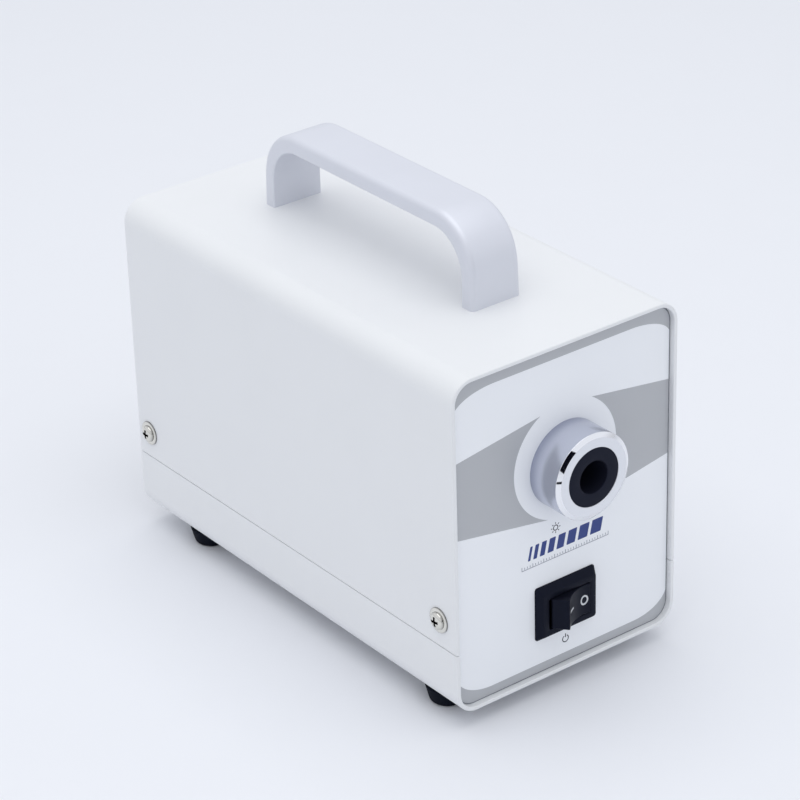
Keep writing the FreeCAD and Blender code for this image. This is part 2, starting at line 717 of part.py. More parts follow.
# ---------------------------------------------------------------- light port

def port_collar():
    bore = INSERT_RADIUS + FIT_GAP
    inwards, along = COLLAR_CHAMFER
    corners = [(bore, Y_COLLAR_FRONT), (COLLAR_RADIUS - inwards, Y_COLLAR_FRONT),
               (COLLAR_RADIUS, Y_COLLAR_FRONT + along), (COLLAR_RADIUS, Y_FACE),
               (COLLAR_NECK_RADIUS, Y_FACE), (COLLAR_NECK_RADIUS, Y_NECK_END), (bore, Y_NECK_END)]
    return turned_y(corners, PORT_X, Z_PORT)


def port_insert():
    """Black sleeve that takes the light guide's ferrule against a stop at its inner end."""
    front = Y_COLLAR_FRONT + INSERT_SET_BACK
    corners = [(GUIDE_RADIUS, front, INSERT_EDGE), (INSERT_RADIUS, front, INSERT_EDGE),
               (INSERT_RADIUS, Y_NECK_END), (GUIDE_STOP_RADIUS, Y_NECK_END),
               (GUIDE_STOP_RADIUS, Y_GUIDE_END), (GUIDE_RADIUS, Y_GUIDE_END)]
    return turned_y(corners, PORT_X, Z_PORT)


def port_locknut():
    """Slotted ring nut that clamps the collar to the panel from behind."""
    inner = COLLAR_NECK_RADIUS + FIT_GAP
    ring = sleeve((PORT_X, Y_BEHIND_FRONT, Z_PORT), Y_AXIS, LOCKNUT_RADIUS, inner, LOCKNUT_THICKNESS)
    half = NOTCH_WIDTH / 2
    y_back = Y_BEHIND_FRONT + LOCKNUT_THICKNESS
    notch = box(-half, half, y_back - 0.75 * LOCKNUT_THICKNESS, y_back + THROUGH,
                LOCKNUT_RADIUS - NOTCH_DEPTH, LOCKNUT_RADIUS + NOTCH_DEPTH)
    notches = [notch.rotated(ORIGIN, Y_AXIS, 360 * i / NOTCHES).translated(Vector(PORT_X, 0, Z_PORT))
               for i in range(NOTCHES)]
    return cut_all(ring, notches)


# ---------------------------------------------------------------- power switch

def switch_housing():
    """Snap-in body with its raised, leaning bezel, and the well in which the rocker tips."""
    y_front = Y_FACE - BEZEL_RISE
    y_lean = Y_FACE - BEZEL_FOOT
    across, upright = BEZEL_LEAN
    outline = rectangle(SWITCH_X, Z_SWITCH, BEZEL_WIDTH, BEZEL_HEIGHT, BEZEL_CORNER)
    flat = rectangle(SWITCH_X, Z_SWITCH, BEZEL_WIDTH - 2 * across, BEZEL_HEIGHT - 2 * upright, BEZEL_CORNER)
    wide_end = profile(outline, in_xz).OuterWire.translated(Y_AXIS * y_lean)
    narrow_end = profile(flat, in_xz).OuterWire.translated(Y_AXIS * y_front)
    sides = Part.makeLoft([wide_end, narrow_end], True, True)
    bezel = along_y(outline, y_lean, Y_FACE).fuse(sides)
    body = bezel.fuse(along_y(switch_body_section(0), Y_FACE, Y_FACE + SWITCH_BODY_DEPTH))
    mouth = along_y(rectangle(SWITCH_X, Z_SWITCH, MOUTH_WIDTH, MOUTH_HEIGHT, MOUTH_CORNER),
                    y_front - THROUGH, y_front + MOUTH_DEPTH + THROUGH)
    well = along_y(rectangle(SWITCH_X, Z_SWITCH, MOUTH_WIDTH + 2 * WELL_ROOM, MOUTH_HEIGHT, MOUTH_CORNER),
                   y_front + MOUTH_DEPTH, Y_FACE + WELL_DEPTH)
    half = MOUTH_HEIGHT / 2 + SWITCH_WALL * BEARING_SHARE
    bearing = rod((SWITCH_X, Y_PIVOT, Z_SWITCH - half), Z_AXIS, ROCKER_PIN_RADIUS + FIT_GAP, 2 * half)
    return cut_all(body.removeSplitter(), [mouth, well, bearing])


def switch_rocker():
    """Rocker hollowed between its two tips, on its pin, with its right wing pressed in."""
    tip, shoulder, keel = ROCKER_TIP_REACH, ROCKER_SHOULDER_REACH, 2 * ROCKER_PIN_RADIUS
    height = MOUTH_HEIGHT - 2 * ROCKER_SIDE_GAP
    corners = [(-tip, -ROCKER_TIP_RISE, ROCKER_TIP_EDGE), (tip, -ROCKER_TIP_RISE, ROCKER_TIP_EDGE),
               (shoulder, -ROCKER_SHOULDER_RISE, ROCKER_SHOULDER_EDGE), (keel, keel, ROCKER_SHOULDER_EDGE),
               (-keel, keel, ROCKER_SHOULDER_EDGE), (-shoulder, -ROCKER_SHOULDER_RISE, ROCKER_SHOULDER_EDGE)]
    wings = along_z(corners, -height / 2, height / 2)
    reach, depth = ROCKER_DISH
    bend = (reach ** 2 + depth ** 2) / (2 * depth)
    hollow = rod((0, depth - ROCKER_TIP_RISE - bend, -height), Z_AXIS, bend, 2 * height)
    pin_length = height + 2 * ROCKER_SIDE_GAP + SWITCH_WALL
    pin = rod((0, 0, -pin_length / 2), Z_AXIS, ROCKER_PIN_RADIUS, pin_length)
    rocker = wings.cut(hollow).fuse(pin).rotated(ORIGIN, Z_AXIS, ROCKER_TILT)
    return rocker.translated(Vector(SWITCH_X, Y_PIVOT, Z_SWITCH))


def switch_terminals():
    """Four flat blades at the back of the switch."""
    y_start = Y_FACE + SWITCH_BODY_DEPTH
    blade = box(-BLADE_SHEET / 2, BLADE_SHEET / 2, y_start, y_start + BLADE_LENGTH,
                -BLADE_WIDTH / 2, BLADE_WIDTH / 2)
    return group(blade.translated(Vector(SWITCH_X + x, 0, Z_SWITCH + z))
                 for x in both_sides(SWITCH_BLADE_X) for z in both_sides(SWITCH_BLADE_Z))


# ---------------------------------------------------------------- handle and feet

def carry_handle():
    """Strap handle: one bar bent down into two legs that stand on the roof."""
    middle = Y_MIDDLE + HANDLE_Y
    half = HANDLE_LENGTH / 2
    inside = half - HANDLE_LEG
    top = Z_TOP + HANDLE_HEIGHT
    under = top - HANDLE_BAR
    corners = [(middle - half, Z_TOP), (middle - half, top, HANDLE_OUTER_BEND),
               (middle + half, top, HANDLE_OUTER_BEND), (middle + half, Z_TOP),
               (middle + inside, Z_TOP), (middle + inside, under, HANDLE_INNER_BEND),
               (middle - inside, under, HANDLE_INNER_BEND), (middle - inside, Z_TOP)]
    strap = along_x(corners, -HANDLE_WIDTH / 2, HANDLE_WIDTH / 2)

    def on_outer_arch(edge):
        spot = edge.CenterOfMass
        beyond = max(abs(spot.y - middle) - inside, spot.z - under) - THROUGH
        flat_in_side = abs(abs(spot.x) - HANDLE_WIDTH / 2) < 1e-6
        return flat_in_side and spot.z > Z_TOP + THROUGH and beyond > 0

    strap = strap.makeFillet(HANDLE_SOFT_EDGE, [edge for edge in strap.Edges if on_outer_arch(edge)])
    holes = [rod((0, y, Z_TOP - THROUGH), Z_AXIS, M4[0], HANDLE_HOLE_DEPTH + THROUGH)
             for y in handle_screw_places()]
    return cut_all(strap, holes)


def handle_screws():
    """Screws from inside the roof up into the handle's legs."""
    length = CASE_SHEET + HANDLE_HOLE_DEPTH - SCREW_TAIL
    return group(pan_screw(M4, (0, y, Z_ROOF), -Z_AXIS, length) for y in handle_screw_places())


def foot(place):
    """Tapered rubber foot with a pocket for its screw."""
    shank = M3[0] + HOLE_GAP
    pocket = M3[1] + HOLE_GAP
    corners = [(shank, FOOT_POCKET_DEPTH), (pocket, FOOT_POCKET_DEPTH), (pocket, 0),
               (FOOT_BOTTOM_RADIUS, 0, FOOT_EDGE),
               (FOOT_TOP_RADIUS, FOOT_HEIGHT), (shank, FOOT_HEIGHT)]
    return turned_z(corners, place[0], place[1])


def foot_screws():
    length = FOOT_HEIGHT - FOOT_POCKET_DEPTH + CASE_SHEET + M3_NUT
    return group(pan_screw(M3, (x, y, FOOT_POCKET_DEPTH), -Z_AXIS, length)
                 for x, y in foot_places().values())


# ---------------------------------------------------------------- rear panel, fan and guard

def inlet_body_section(grow):
    width, height = INLET_BODY_WIDTH + 2 * grow, INLET_BODY_HEIGHT + 2 * grow
    return rectangle(INLET_X, Z_INLET, width, height, INLET_BODY_CORNER)


def inlet_screw_places():
    return [INLET_X + x for x in both_sides(INLET_SCREW_PITCH / 2)]


def rear_panel():
    reach = PANEL_SHEET + 2 * THROUGH
    y = Y_BEFORE_REAR - THROUGH
    holes = [rod((0, y, Z_FAN), Y_AXIS, FAN_BORE_RADIUS, reach)]
    holes += [rod((x, y, z), Y_AXIS, M4[0] + HOLE_GAP, reach) for x, z in fan_screw_places()]
    holes += [rod((x, y, Z_INLET), Y_AXIS, M3[0], reach) for x in inlet_screw_places()]
    holes.append(along_y(inlet_body_section(HOLE_GAP), y, y + reach))
    holes.append(rod((KNOB_X, y, Z_KNOB), Y_AXIS, CONTROL_BUSH_RADIUS + HOLE_GAP, reach))
    return cut_all(bent_panel(Y_REAR_PANEL, Y_BEFORE_REAR), holes)


def fan_frame():
    """Square frame with a round duct, two screw flanges and a motor plate on four struts."""
    half = FAN_SIZE / 2
    duct = rod((0, Y_FAN, Z_FAN), Y_AXIS, FAN_BORE_RADIUS + FAN_DUCT_WALL, FAN_DEPTH)
    flange = along_y(rectangle(0, Z_FAN, FAN_SIZE, FAN_SIZE, FAN_CORNER), Y_FAN, Y_FAN + FAN_FLANGE)
    frame = duct.fuse([flange, flange.translated(Y_AXIS * (FAN_DEPTH - FAN_FLANGE))])
    frame = frame.common(box(-half, half, Y_FAN, Y_BEFORE_REAR, Z_FAN - half, Z_FAN + half))
    y_tool = Y_FAN - THROUGH
    depth = FAN_DEPTH + 2 * THROUGH
    frame = frame.cut(rod((0, y_tool, Z_FAN), Y_AXIS, FAN_BORE_RADIUS, depth))
    plate = rod((0, Y_MOTOR_PLATE, Z_FAN), Y_AXIS, FAN_HUB_RADIUS, FAN_MOTOR_PLATE)
    strut = box(FAN_HUB_RADIUS - FAN_DUCT_WALL / 2, FAN_BORE_RADIUS + FAN_DUCT_WALL / 2,
                Y_MOTOR_PLATE, Y_BEFORE_REAR, -FAN_STRUT / 2, FAN_STRUT / 2)
    struts = [strut.rotated(ORIGIN, Y_AXIS, 45 + 90 * i).translated(Z_AXIS * Z_FAN) for i in range(4)]
    frame = frame.fuse([plate] + struts).removeSplitter()
    holes = [rod((x, y_tool, z), Y_AXIS, M4[0] + HOLE_GAP, depth) for x, z in fan_screw_places()]
    holes.append(rod((0, y_tool, Z_FAN), Y_AXIS, FAN_SHAFT_RADIUS + FIT_GAP, depth))
    return cut_all(frame, holes)


def fan_blade():
    """One twisted blade along +X, lofted from the hub to the tip."""
    half_sheet = FAN_BLADE_SHEET / 2
    rooted = FAN_HUB_RADIUS - half_sheet
    stations = ((rooted, *FAN_BLADE_ROOT), (FAN_BORE_RADIUS - FAN_TIP_GAP, *FAN_BLADE_TIP))
    wires = []
    for radius, chord, angle in stations:
        section = [Vector(radius, half_sheet, -chord / 2), Vector(radius, half_sheet, chord / 2),
                   Vector(radius, -half_sheet, chord / 2), Vector(radius, -half_sheet, -chord / 2)]
        wire = Part.makePolygon(section + section[:1])
        wires.append(wire.rotated(Vector(radius, 0, 0), X_AXIS, angle - 90))
    return Part.makeLoft(wires, True, True)


def fan_rotor():
    """Hub cap with its blades and the shaft that runs in the motor plate."""
    y_start = Y_FAN + FAN_HUB_SET_BACK
    y_end = Y_MOTOR_PLATE - FAN_END_GAP
    cap = [(0, y_start), (FAN_HUB_RADIUS, y_start, 2.0), (FAN_HUB_RADIUS, y_end), (0, y_end)]
    hub = turned_y(cap, 0, 0)
    y_blade = (y_start + y_end) / 2
    blades = [fan_blade().translated(Y_AXIS * y_blade).rotated(ORIGIN, Y_AXIS, 360 * i / FAN_BLADES)
              for i in range(FAN_BLADES)]
    shaft = rod((0, y_end, 0), Y_AXIS, FAN_SHAFT_RADIUS, FAN_END_GAP + FAN_MOTOR_PLATE)
    return hub.fuse(blades + [shaft]).translated(Z_AXIS * Z_FAN)


def fan_guard():
    """Wire guard: two crossed wires between four eyelets, with welded rings on top of them."""
    wire = GUARD_WIRE_RADIUS
    y_wire = Y_REAR_PANEL + wire
    half_diagonal = FAN_HOLE_PITCH / math.sqrt(2)
    crossing = rod((-half_diagonal, y_wire, 0), X_AXIS, wire, 2 * half_diagonal)
    wires = [crossing.rotated(Vector(0, y_wire, 0), Y_AXIS, angle) for angle in (45, 135)]
    y_ring = y_wire + (2 - GUARD_WELD) * wire
    wires += [Part.makeTorus(GUARD_RING_STEP * (i + 1), wire, Vector(0, y_ring, 0), Y_AXIS)
              for i in range(GUARD_RINGS)]
    guard = wires[0].fuse(wires[1:]).translated(Z_AXIS * Z_FAN)
    eyelets = [rod((x, Y_REAR_PANEL, z), Y_AXIS, M4[1], 2 * wire) for x, z in fan_screw_places()]
    holes = [rod((x, Y_REAR_PANEL - THROUGH, z), Y_AXIS, M4[0] + HOLE_GAP, 2 * (wire + THROUGH))
             for x, z in fan_screw_places()]
    return cut_all(guard.fuse(eyelets), holes)


def fan_screws():
    """Four long screws through guard, panel and fan, each into a nut at the fan's inner face."""
    length = 2 * GUARD_WIRE_RADIUS + PANEL_SHEET + FAN_DEPTH + M4_NUT
    return group(pan_screw(M4, (x, Y_REAR_PANEL + 2 * GUARD_WIRE_RADIUS, z), Y_AXIS, length)
                 for x, z in fan_screw_places())


def hex_nuts():
    """Nuts of the foot screws on the floor, and of the fan screws on the fan's inner face."""
    on_floor = [hex_nut(M3[0], (x, y, Z_FLOOR), Z_AXIS, M3_NUT) for x, y in foot_places().values()]
    on_fan = [hex_nut(M4[0], (x, Y_FAN, z), -Y_AXIS, M4_NUT) for x, z in fan_screw_places()]
    return group(on_floor + on_fan)


# ---------------------------------------------------------------- mains inlet

def inlet_socket_section():
    """Outline of the plug's socket: a rectangle with its two upper corners cut off."""
    z_middle = Z_INLET + SOCKET_UP
    cut_off = SOCKET_CUT_OFF
    left, right = INLET_X - SOCKET_WIDTH / 2, INLET_X + SOCKET_WIDTH / 2
    low, high = z_middle - SOCKET_HEIGHT / 2, z_middle + SOCKET_HEIGHT / 2
    return [(left, low, 1.0), (right, low, 1.0), (right, high - cut_off), (right - cut_off, high),
            (left + cut_off, high), (left, high - cut_off)]


def mains_inlet():
    """Flange outside the panel and body through it, with the plug's socket and the drawer's way."""
    outline = rectangle(INLET_X, Z_INLET, INLET_WIDTH, INLET_FLANGE_HEIGHT, INLET_FLANGE_CORNER)
    flange = along_y(outline, Y_REAR_PANEL, Y_INLET)
    y_body = Y_INLET - INLET_BODY_DEPTH
    body = flange.fuse(along_y(inlet_body_section(0), y_body, Y_REAR_PANEL)).removeSplitter()
    holes = [along_y(inlet_socket_section(), Y_INLET - SOCKET_DEPTH, Y_INLET + THROUGH)]
    drawer_way = drawer_section(HOLE_GAP)
    holes.append(along_y(drawer_way, Y_INLET - DRAWER_DEPTH - HOLE_GAP, Y_INLET + THROUGH))
    holes += [rod((x, Y_REAR_PANEL - THROUGH, Z_INLET), Y_AXIS, M3[0] + HOLE_GAP, INLET_FLANGE + 2 * THROUGH)
              for x in inlet_screw_places()]
    holes += [along_y(section, y_body - THROUGH, Y_INLET) for section in inlet_pin_sections()]
    return cut_all(body, holes)


def inlet_pin_sections():
    """Earth blade above, live and neutral blades below it."""
    z_middle = Z_INLET + SOCKET_UP
    places = ((0, EARTH_UP), (-PIN_PITCH, -EARTH_UP), (PIN_PITCH, -EARTH_UP))
    return [rectangle(INLET_X + x, z_middle + z, *PIN_SECTION) for x, z in places]


def inlet_contacts():
    """Three blades that run from inside the socket to the solder tags behind the body."""
    y_tip = Y_INLET - SOCKET_DEPTH + PIN_LENGTH
    y_tag = Y_INLET - INLET_BODY_DEPTH - BLADE_LENGTH
    return group(along_y(section, y_tag, y_tip) for section in inlet_pin_sections())


def drawer_section(grow):
    """Outline of the fuse drawer in X and Z."""
    return rectangle(INLET_X, Z_DRAWER, DRAWER_WIDTH + 2 * grow, DRAWER_HEIGHT + 2 * grow, 0.8)


def fuse_drawer():
    """Drawer with a finger lip, open on top where the fuse lies across it."""
    y_lip = Y_INLET + 2 * FIT_GAP
    drawer = along_y(drawer_section(0), Y_INLET - DRAWER_DEPTH, y_lip)
    lip = along_y(drawer_section(DRAWER_LIP_OVERHANG), y_lip, y_lip + DRAWER_LIP)
    half_bed = FUSE_RADIUS + HOLE_GAP
    half_length = FUSE_LENGTH / 2 + HOLE_GAP
    bed = box(INLET_X - half_length, INLET_X + half_length, Y_FUSE - half_bed, Y_FUSE + half_bed,
              Z_DRAWER - FUSE_RADIUS, Z_DRAWER + DRAWER_HEIGHT)
    return drawer.fuse(lip).removeSplitter().cut(bed)


def fuse():
    """Glass cartridge fuse with an end cap at each side."""
    x_start, x_end = INLET_X - FUSE_LENGTH / 2, INLET_X + FUSE_LENGTH / 2
    tube = FUSE_RADIUS - 0.3
    corners = [(x_start, 0), (x_start, FUSE_RADIUS), (x_start + FUSE_CAP, FUSE_RADIUS),
               (x_start + FUSE_CAP, tube), (x_end - FUSE_CAP, tube), (x_end - FUSE_CAP, FUSE_RADIUS),
               (x_end, FUSE_RADIUS), (x_end, 0)]
    return profile(corners, in_xz).revolve(ORIGIN, X_AXIS, 360).translated(Vector(0, Y_FUSE, Z_DRAWER))


def inlet_screws():
    length = INLET_FLANGE + PANEL_SHEET + SCREW_TAIL
    return group(pan_screw(M3, (x, Y_INLET, Z_INLET), Y_AXIS, length) for x in inlet_screw_places())


# ---------------------------------------------------------------- intensity control

def potentiometer():
    """Round control body behind the panel, with its threaded bush through it and three tags."""
    corners = [(0, Y_CONTROL), (CONTROL_BODY_RADIUS, Y_CONTROL, 1.0), (CONTROL_BODY_RADIUS, Y_BEFORE_REAR),
               (CONTROL_BUSH_RADIUS, Y_BEFORE_REAR), (CONTROL_BUSH_RADIUS, Y_BUSH_END), (0, Y_BUSH_END)]
    body = turned_y(corners, KNOB_X, Z_KNOB)
    y_tag = Y_CONTROL + CONTROL_BODY_DEPTH / 2
    width, sheet, reach = CONTROL_TAG
    z_root = Z_KNOB - CONTROL_BODY_RADIUS
    tag = box(KNOB_X - width / 2, KNOB_X + width / 2, y_tag - sheet / 2, y_tag + sheet / 2,
              z_root - reach, z_root + width)
    tags = [tag.translated(X_AXIS * i * CONTROL_TAG_PITCH) for i in (-1, 0, 1)]
    y_bore = Y_CONTROL + CONTROL_BACK
    depth = Y_BUSH_END + THROUGH - y_bore
    bore = rod((KNOB_X, y_bore, Z_KNOB), Y_AXIS, CONTROL_SHAFT_RADIUS + FIT_GAP, depth)
    return body.fuse(tags).cut(bore)


def control_nut():
    """Flat nut on the bush, outside the panel."""
    return hex_nut(CONTROL_BUSH_RADIUS, (KNOB_X, Y_REAR_PANEL, Z_KNOB), Y_AXIS, CONTROL_NUT)


def control_shaft():
    """Shaft from inside the control body to the blind end of the knob's bore."""
    y_start = Y_CONTROL + CONTROL_BACK + HOLE_GAP
    y_end = Y_KNOB_END - KNOB_CAP
    return rod((KNOB_X, y_start, Z_KNOB), Y_AXIS, CONTROL_SHAFT_RADIUS, y_end - y_start)


def intensity_knob():
    """Fluted knob with a pointer groove, hollow behind so that it covers the nut."""
    y_skirt = Y_KNOB + KNOB_SKIRT
    y_grip = y_skirt + KNOB_STEP
    grip = KNOB_RADIUS - KNOB_STEP
    corners = [(0, Y_KNOB), (KNOB_RADIUS, Y_KNOB), (KNOB_RADIUS, y_skirt), (grip, y_grip),
               (grip - KNOB_STEP / 2, Y_KNOB_END, 1.0), (0, Y_KNOB_END)]
    solid = turned_y(corners, 0, 0)
    y_tool = Y_KNOB - THROUGH
    hollow_radius = nut_reach(CONTROL_BUSH_RADIUS) + 2 * HOLE_GAP
    hollow = rod((0, y_tool, 0), Y_AXIS, hollow_radius, CONTROL_BUSH_LENGTH + THROUGH)
    flute = rod((grip + FLUTE_RADIUS / 2, y_grip, 0), Y_AXIS, FLUTE_RADIUS, KNOB_LENGTH)
    flutes = [flute.rotated(ORIGIN, Y_AXIS, 360 * (i + 0.5) / KNOB_FLUTES) for i in range(KNOB_FLUTES)]
    pointer = box(-0.5, 0.5, Y_KNOB_END - 0.8, Y_KNOB_END + THROUGH, 2.0, KNOB_RADIUS)
    bore = rod((0, y_tool, 0), Y_AXIS, CONTROL_SHAFT_RADIUS, Y_KNOB_END - KNOB_CAP - y_tool)
    knob = cut_all(solid, flutes + [hollow, pointer, bore])
    return knob.rotated(ORIGIN, Y_AXIS, KNOB_REST_TURN).translated(Vector(KNOB_X, 0, Z_KNOB))


# ---------------------------------------------------------------- deck and transformer

def equipment_deck():
    """Bridge folded from sheet: a top, two windowed sides and four feet turned inwards."""
    half = DECK_WIDTH / 2
    inside = half - DECK_SHEET
    section = [(-half, Z_FLOOR), (-half, Z_DECK, 2 * DECK_SHEET), (half, Z_DECK, 2 * DECK_SHEET),
               (half, Z_FLOOR), (inside, Z_FLOOR), (inside, Z_DECK_UNDER, DECK_SHEET),
               (-inside, Z_DECK_UNDER, DECK_SHEET), (-inside, Z_FLOOR)]
    bridge = along_y(section, Y_DECK_FRONT, Y_DECK_REAR)
    tabs = []
    for x, y in deck_screw_places():
        x_wall = math.copysign(inside, x)
        x_tip = math.copysign(inside - DECK_TAB, x)
        tabs.append(box(min(x_wall, x_tip), max(x_wall, x_tip), y - DECK_TAB / 2, y + DECK_TAB / 2,
                        Z_FLOOR, Z_FLOOR + DECK_SHEET))
    bridge = bridge.fuse(tabs).removeSplitter()
    low, high = Z_FLOOR - THROUGH, Z_DECK_UNDER - DECK_WINDOW_HEAD
    y_front, y_rear = Y_DECK_FRONT + DECK_WINDOW_JAMB, Y_DECK_REAR - DECK_WINDOW_JAMB
    corner = DECK_WINDOW_CORNER
    window = [(y_front, low), (y_front, high, corner), (y_rear, high, corner), (y_rear, low)]
    holes = [along_x(window, -half - THROUGH, half + THROUGH)]
    depth = DECK_SHEET + 2 * THROUGH
    holes += [rod((x, y, Z_FLOOR - THROUGH), Z_AXIS, M3[0], depth) for x, y in deck_screw_places()]
    holes += [rod((x, y, Z_DECK_UNDER - THROUGH), Z_AXIS, M3[0], depth)
              for x, y in bracket_flange_places() + board_hole_places()]
    return cut_all(bridge, holes)


def transformer():
    """Ring core under its taped windings."""
    low, high = Z_TRANSFORMER, Z_TRANSFORMER + TRANSFORMER_HEIGHT
    corner = TRANSFORMER_CORNER
    corners = [(TRANSFORMER_EYE, low, corner), (TRANSFORMER_RADIUS, low, corner),
               (TRANSFORMER_RADIUS, high, corner), (TRANSFORMER_EYE, high, corner)]
    return turned_z(corners, 0, Y_TRANSFORMER)


def transformer_pads():
    """Rubber discs under and over the windings."""
    outer = TRANSFORMER_RADIUS - TRANSFORMER_CORNER
    hole = M6[0] + HOLE_GAP
    z_upper = Z_DISH - PAD_THICKNESS
    lower = sleeve((0, Y_TRANSFORMER, Z_FLOOR), Z_AXIS, outer, hole, PAD_THICKNESS)
    upper = sleeve((0, Y_TRANSFORMER, z_upper), Z_AXIS, DISH_RADIUS, hole, PAD_THICKNESS)
    return group([lower, upper])


def transformer_dish():
    """Dished steel washer that presses the ring down."""
    hole = M6[0] + HOLE_GAP
    top = Z_DISH + DISH_SHEET
    corners = [(hole, Z_DISH), (DISH_RADIUS, Z_DISH), (DISH_RADIUS, top - DISH_DIP),
               (DISH_RADIUS - DISH_SHOULDER, top), (hole, top)]
    return turned_z(corners, 0, Y_TRANSFORMER)


def transformer_bolt():
    length = Z_DISH + DISH_SHEET + M6_NUT - Z_UNDERSIDE
    return pan_screw(M6, (0, Y_TRANSFORMER, Z_UNDERSIDE), -Z_AXIS, length)


def transformer_nut():
    return hex_nut(M6[0], (0, Y_TRANSFORMER, Z_DISH + DISH_SHEET), Z_AXIS, M6_NUT)


# ---------------------------------------------------------------- lamp and heat filter

def lamp_bracket():
    """Upright plate on the deck; the reflector's rim lies against its back."""
    half = BRACKET_WIDTH / 2
    top = Z_PORT + half
    y_front = Y_RIM - BRACKET_SHEET
    left, right = PORT_X - half, PORT_X + half
    z_fold = Z_DECK + BRACKET_FOLD
    plate = [(left, z_fold), (right, z_fold), (right, top, BRACKET_CORNER), (left, top, BRACKET_CORNER)]
    upright = along_y(plate, y_front, Y_RIM)
    tip = Y_RIM + BRACKET_FLANGE
    z_flange = Z_DECK + BRACKET_SHEET
    fold = [(y_front, z_fold), (y_front, Z_DECK, 2 * BRACKET_SHEET), (tip, Z_DECK), (tip, z_flange),
            (Y_RIM, z_flange, BRACKET_SHEET), (Y_RIM, z_fold)]
    bracket = upright.fuse(along_x(fold, left, right)).removeSplitter()
    hole = M3[0] + HOLE_GAP
    depth = BRACKET_SHEET + 2 * THROUGH
    y_tool = y_front - THROUGH
    holes = [rod((PORT_X, y_tool, Z_PORT), Y_AXIS, BRACKET_HOLE_RADIUS, depth)]
    holes += [rod((x, y, Z_DECK - THROUGH), Z_AXIS, hole, depth) for x, y in bracket_flange_places()]
    holes += [rod((x, y_tool, z), Y_AXIS, hole, depth) for x, z in post_places() + clip_screw_places()]
    return cut_all(bracket, holes)


def post_places():
    """Filter posts to the left and right of the lamp's axis."""
    return [(PORT_X + x, Z_PORT) for x in both_sides(POST_OFFSET)]


def clip_screw_places():
    turns = [math.radians(angle) for angle in clip_angles()]
    return [(PORT_X + POST_OFFSET * math.cos(turn), Z_PORT + POST_OFFSET * math.sin(turn)) for turn in turns]


def lamp_screws():
    """Screws of the bracket's foot, the clips, the filter posts and the filter holder's ears."""
    foot_screws_here = [pan_screw(M3, (x, y, Z_DECK + BRACKET_SHEET), Z_AXIS, BRACKET_SHEET + DECK_SHEET)
                        for x, y in bracket_flange_places()]
    clip_length = CLIP_SHEET + BRACKET_SHEET + SCREW_TAIL / 2
    clip_screws = [pan_screw(M3, (x, Y_RIM + CLIP_SHEET, z), Y_AXIS, clip_length)
                   for x, z in clip_screw_places()]
    bite = POST_LENGTH / 3
    post_screws = [pan_screw(M3, (x, Y_RIM, z), Y_AXIS, BRACKET_SHEET + bite) for x, z in post_places()]
    ear_length = Y_FILTER_BACK - Y_FILTER_FRONT + bite
    ear_screws = [pan_screw(M3, (x, Y_FILTER_FRONT, z), -Y_AXIS, ear_length) for x, z in post_places()]
    return group(foot_screws_here + clip_screws + post_screws + ear_screws)


def lamp_clips():
    """Leaf clips round the reflector that hold its rim against the bracket."""
    rim = REFLECTOR_RADIUS + CLIP_GAP
    over = REFLECTOR_RIM + FIT_GAP
    end, tip = POST_OFFSET + M3[1], REFLECTOR_RADIUS - CLIP_REACH
    outline = [(end, 0), (end, CLIP_SHEET), (rim + CLIP_SHEET, CLIP_SHEET),
               (rim + CLIP_SHEET, over + CLIP_SHEET), (tip, over + CLIP_SHEET), (tip, over),
               (rim, over), (rim, 0)]
    leaf = profile(outline, in_xy).extrude(Z_AXIS * CLIP_WIDTH).translated(Z_AXIS * (-CLIP_WIDTH / 2))
    leaf = leaf.cut(rod((POST_OFFSET, -THROUGH, 0), Y_AXIS, M3[0] + HOLE_GAP, CLIP_SHEET + 2 * THROUGH))
    return group(leaf.rotated(ORIGIN, Y_AXIS, -angle).translated(Vector(PORT_X, Y_RIM, Z_PORT))
                 for angle in clip_angles())


def lamp_reflector():
    """Glass reflector: an elliptical bowl behind a flat rim, drawn out into a neck for the lamp."""
    bowl_mouth = REFLECTOR_RADIUS - REFLECTOR_RIM_WIDTH

    def bowl(wall):
        points = []
        for i in range(7):
            depth = REFLECTOR_DEPTH * i / 6
            share = math.sqrt(1 - (depth / (REFLECTOR_DEPTH * 1.04)) ** 2)
            points.append(Vector(NECK_BORE + wall + (bowl_mouth - NECK_BORE) * share - wall * 0.3, depth, 0))
        return points

    def curve(points):
        spline = Part.BSplineCurve()
        spline.interpolate(points)
        return spline.toShape()

    inner = bowl(0.0)
    outer = [point + Vector(REFLECTOR_WALL, REFLECTOR_WALL * 0.4, 0) for point in inner]
    rim_back = Vector(outer[0].x, REFLECTOR_RIM, 0)
    outer = [rim_back] + [point for point in outer if point.y > REFLECTOR_RIM + 0.5]
    neck_side = Vector(NECK_RADIUS, outer[-1].y, 0)
    straight = [inner[0], Vector(REFLECTOR_RADIUS, 0, 0), Vector(REFLECTOR_RADIUS, REFLECTOR_RIM, 0),
                rim_back]
    tail = [outer[-1], neck_side, Vector(NECK_RADIUS, REFLECTOR_LENGTH, 0),
            Vector(NECK_BORE, REFLECTOR_LENGTH, 0), Vector(NECK_BORE, inner[-1].y, 0), inner[-1]]

    def lines(points):
        return [Part.makeLine(a, b) for a, b in zip(points, points[1:]) if (b - a).Length > 1e-6]

    edges = lines(straight) + [curve(outer)] + lines(tail) + [curve(inner[::-1])]
    face = Part.Face(Part.Wire(edges))
    return face.revolve(ORIGIN, Y_AXIS, 360).translated(Vector(PORT_X, Y_RIM, Z_PORT))


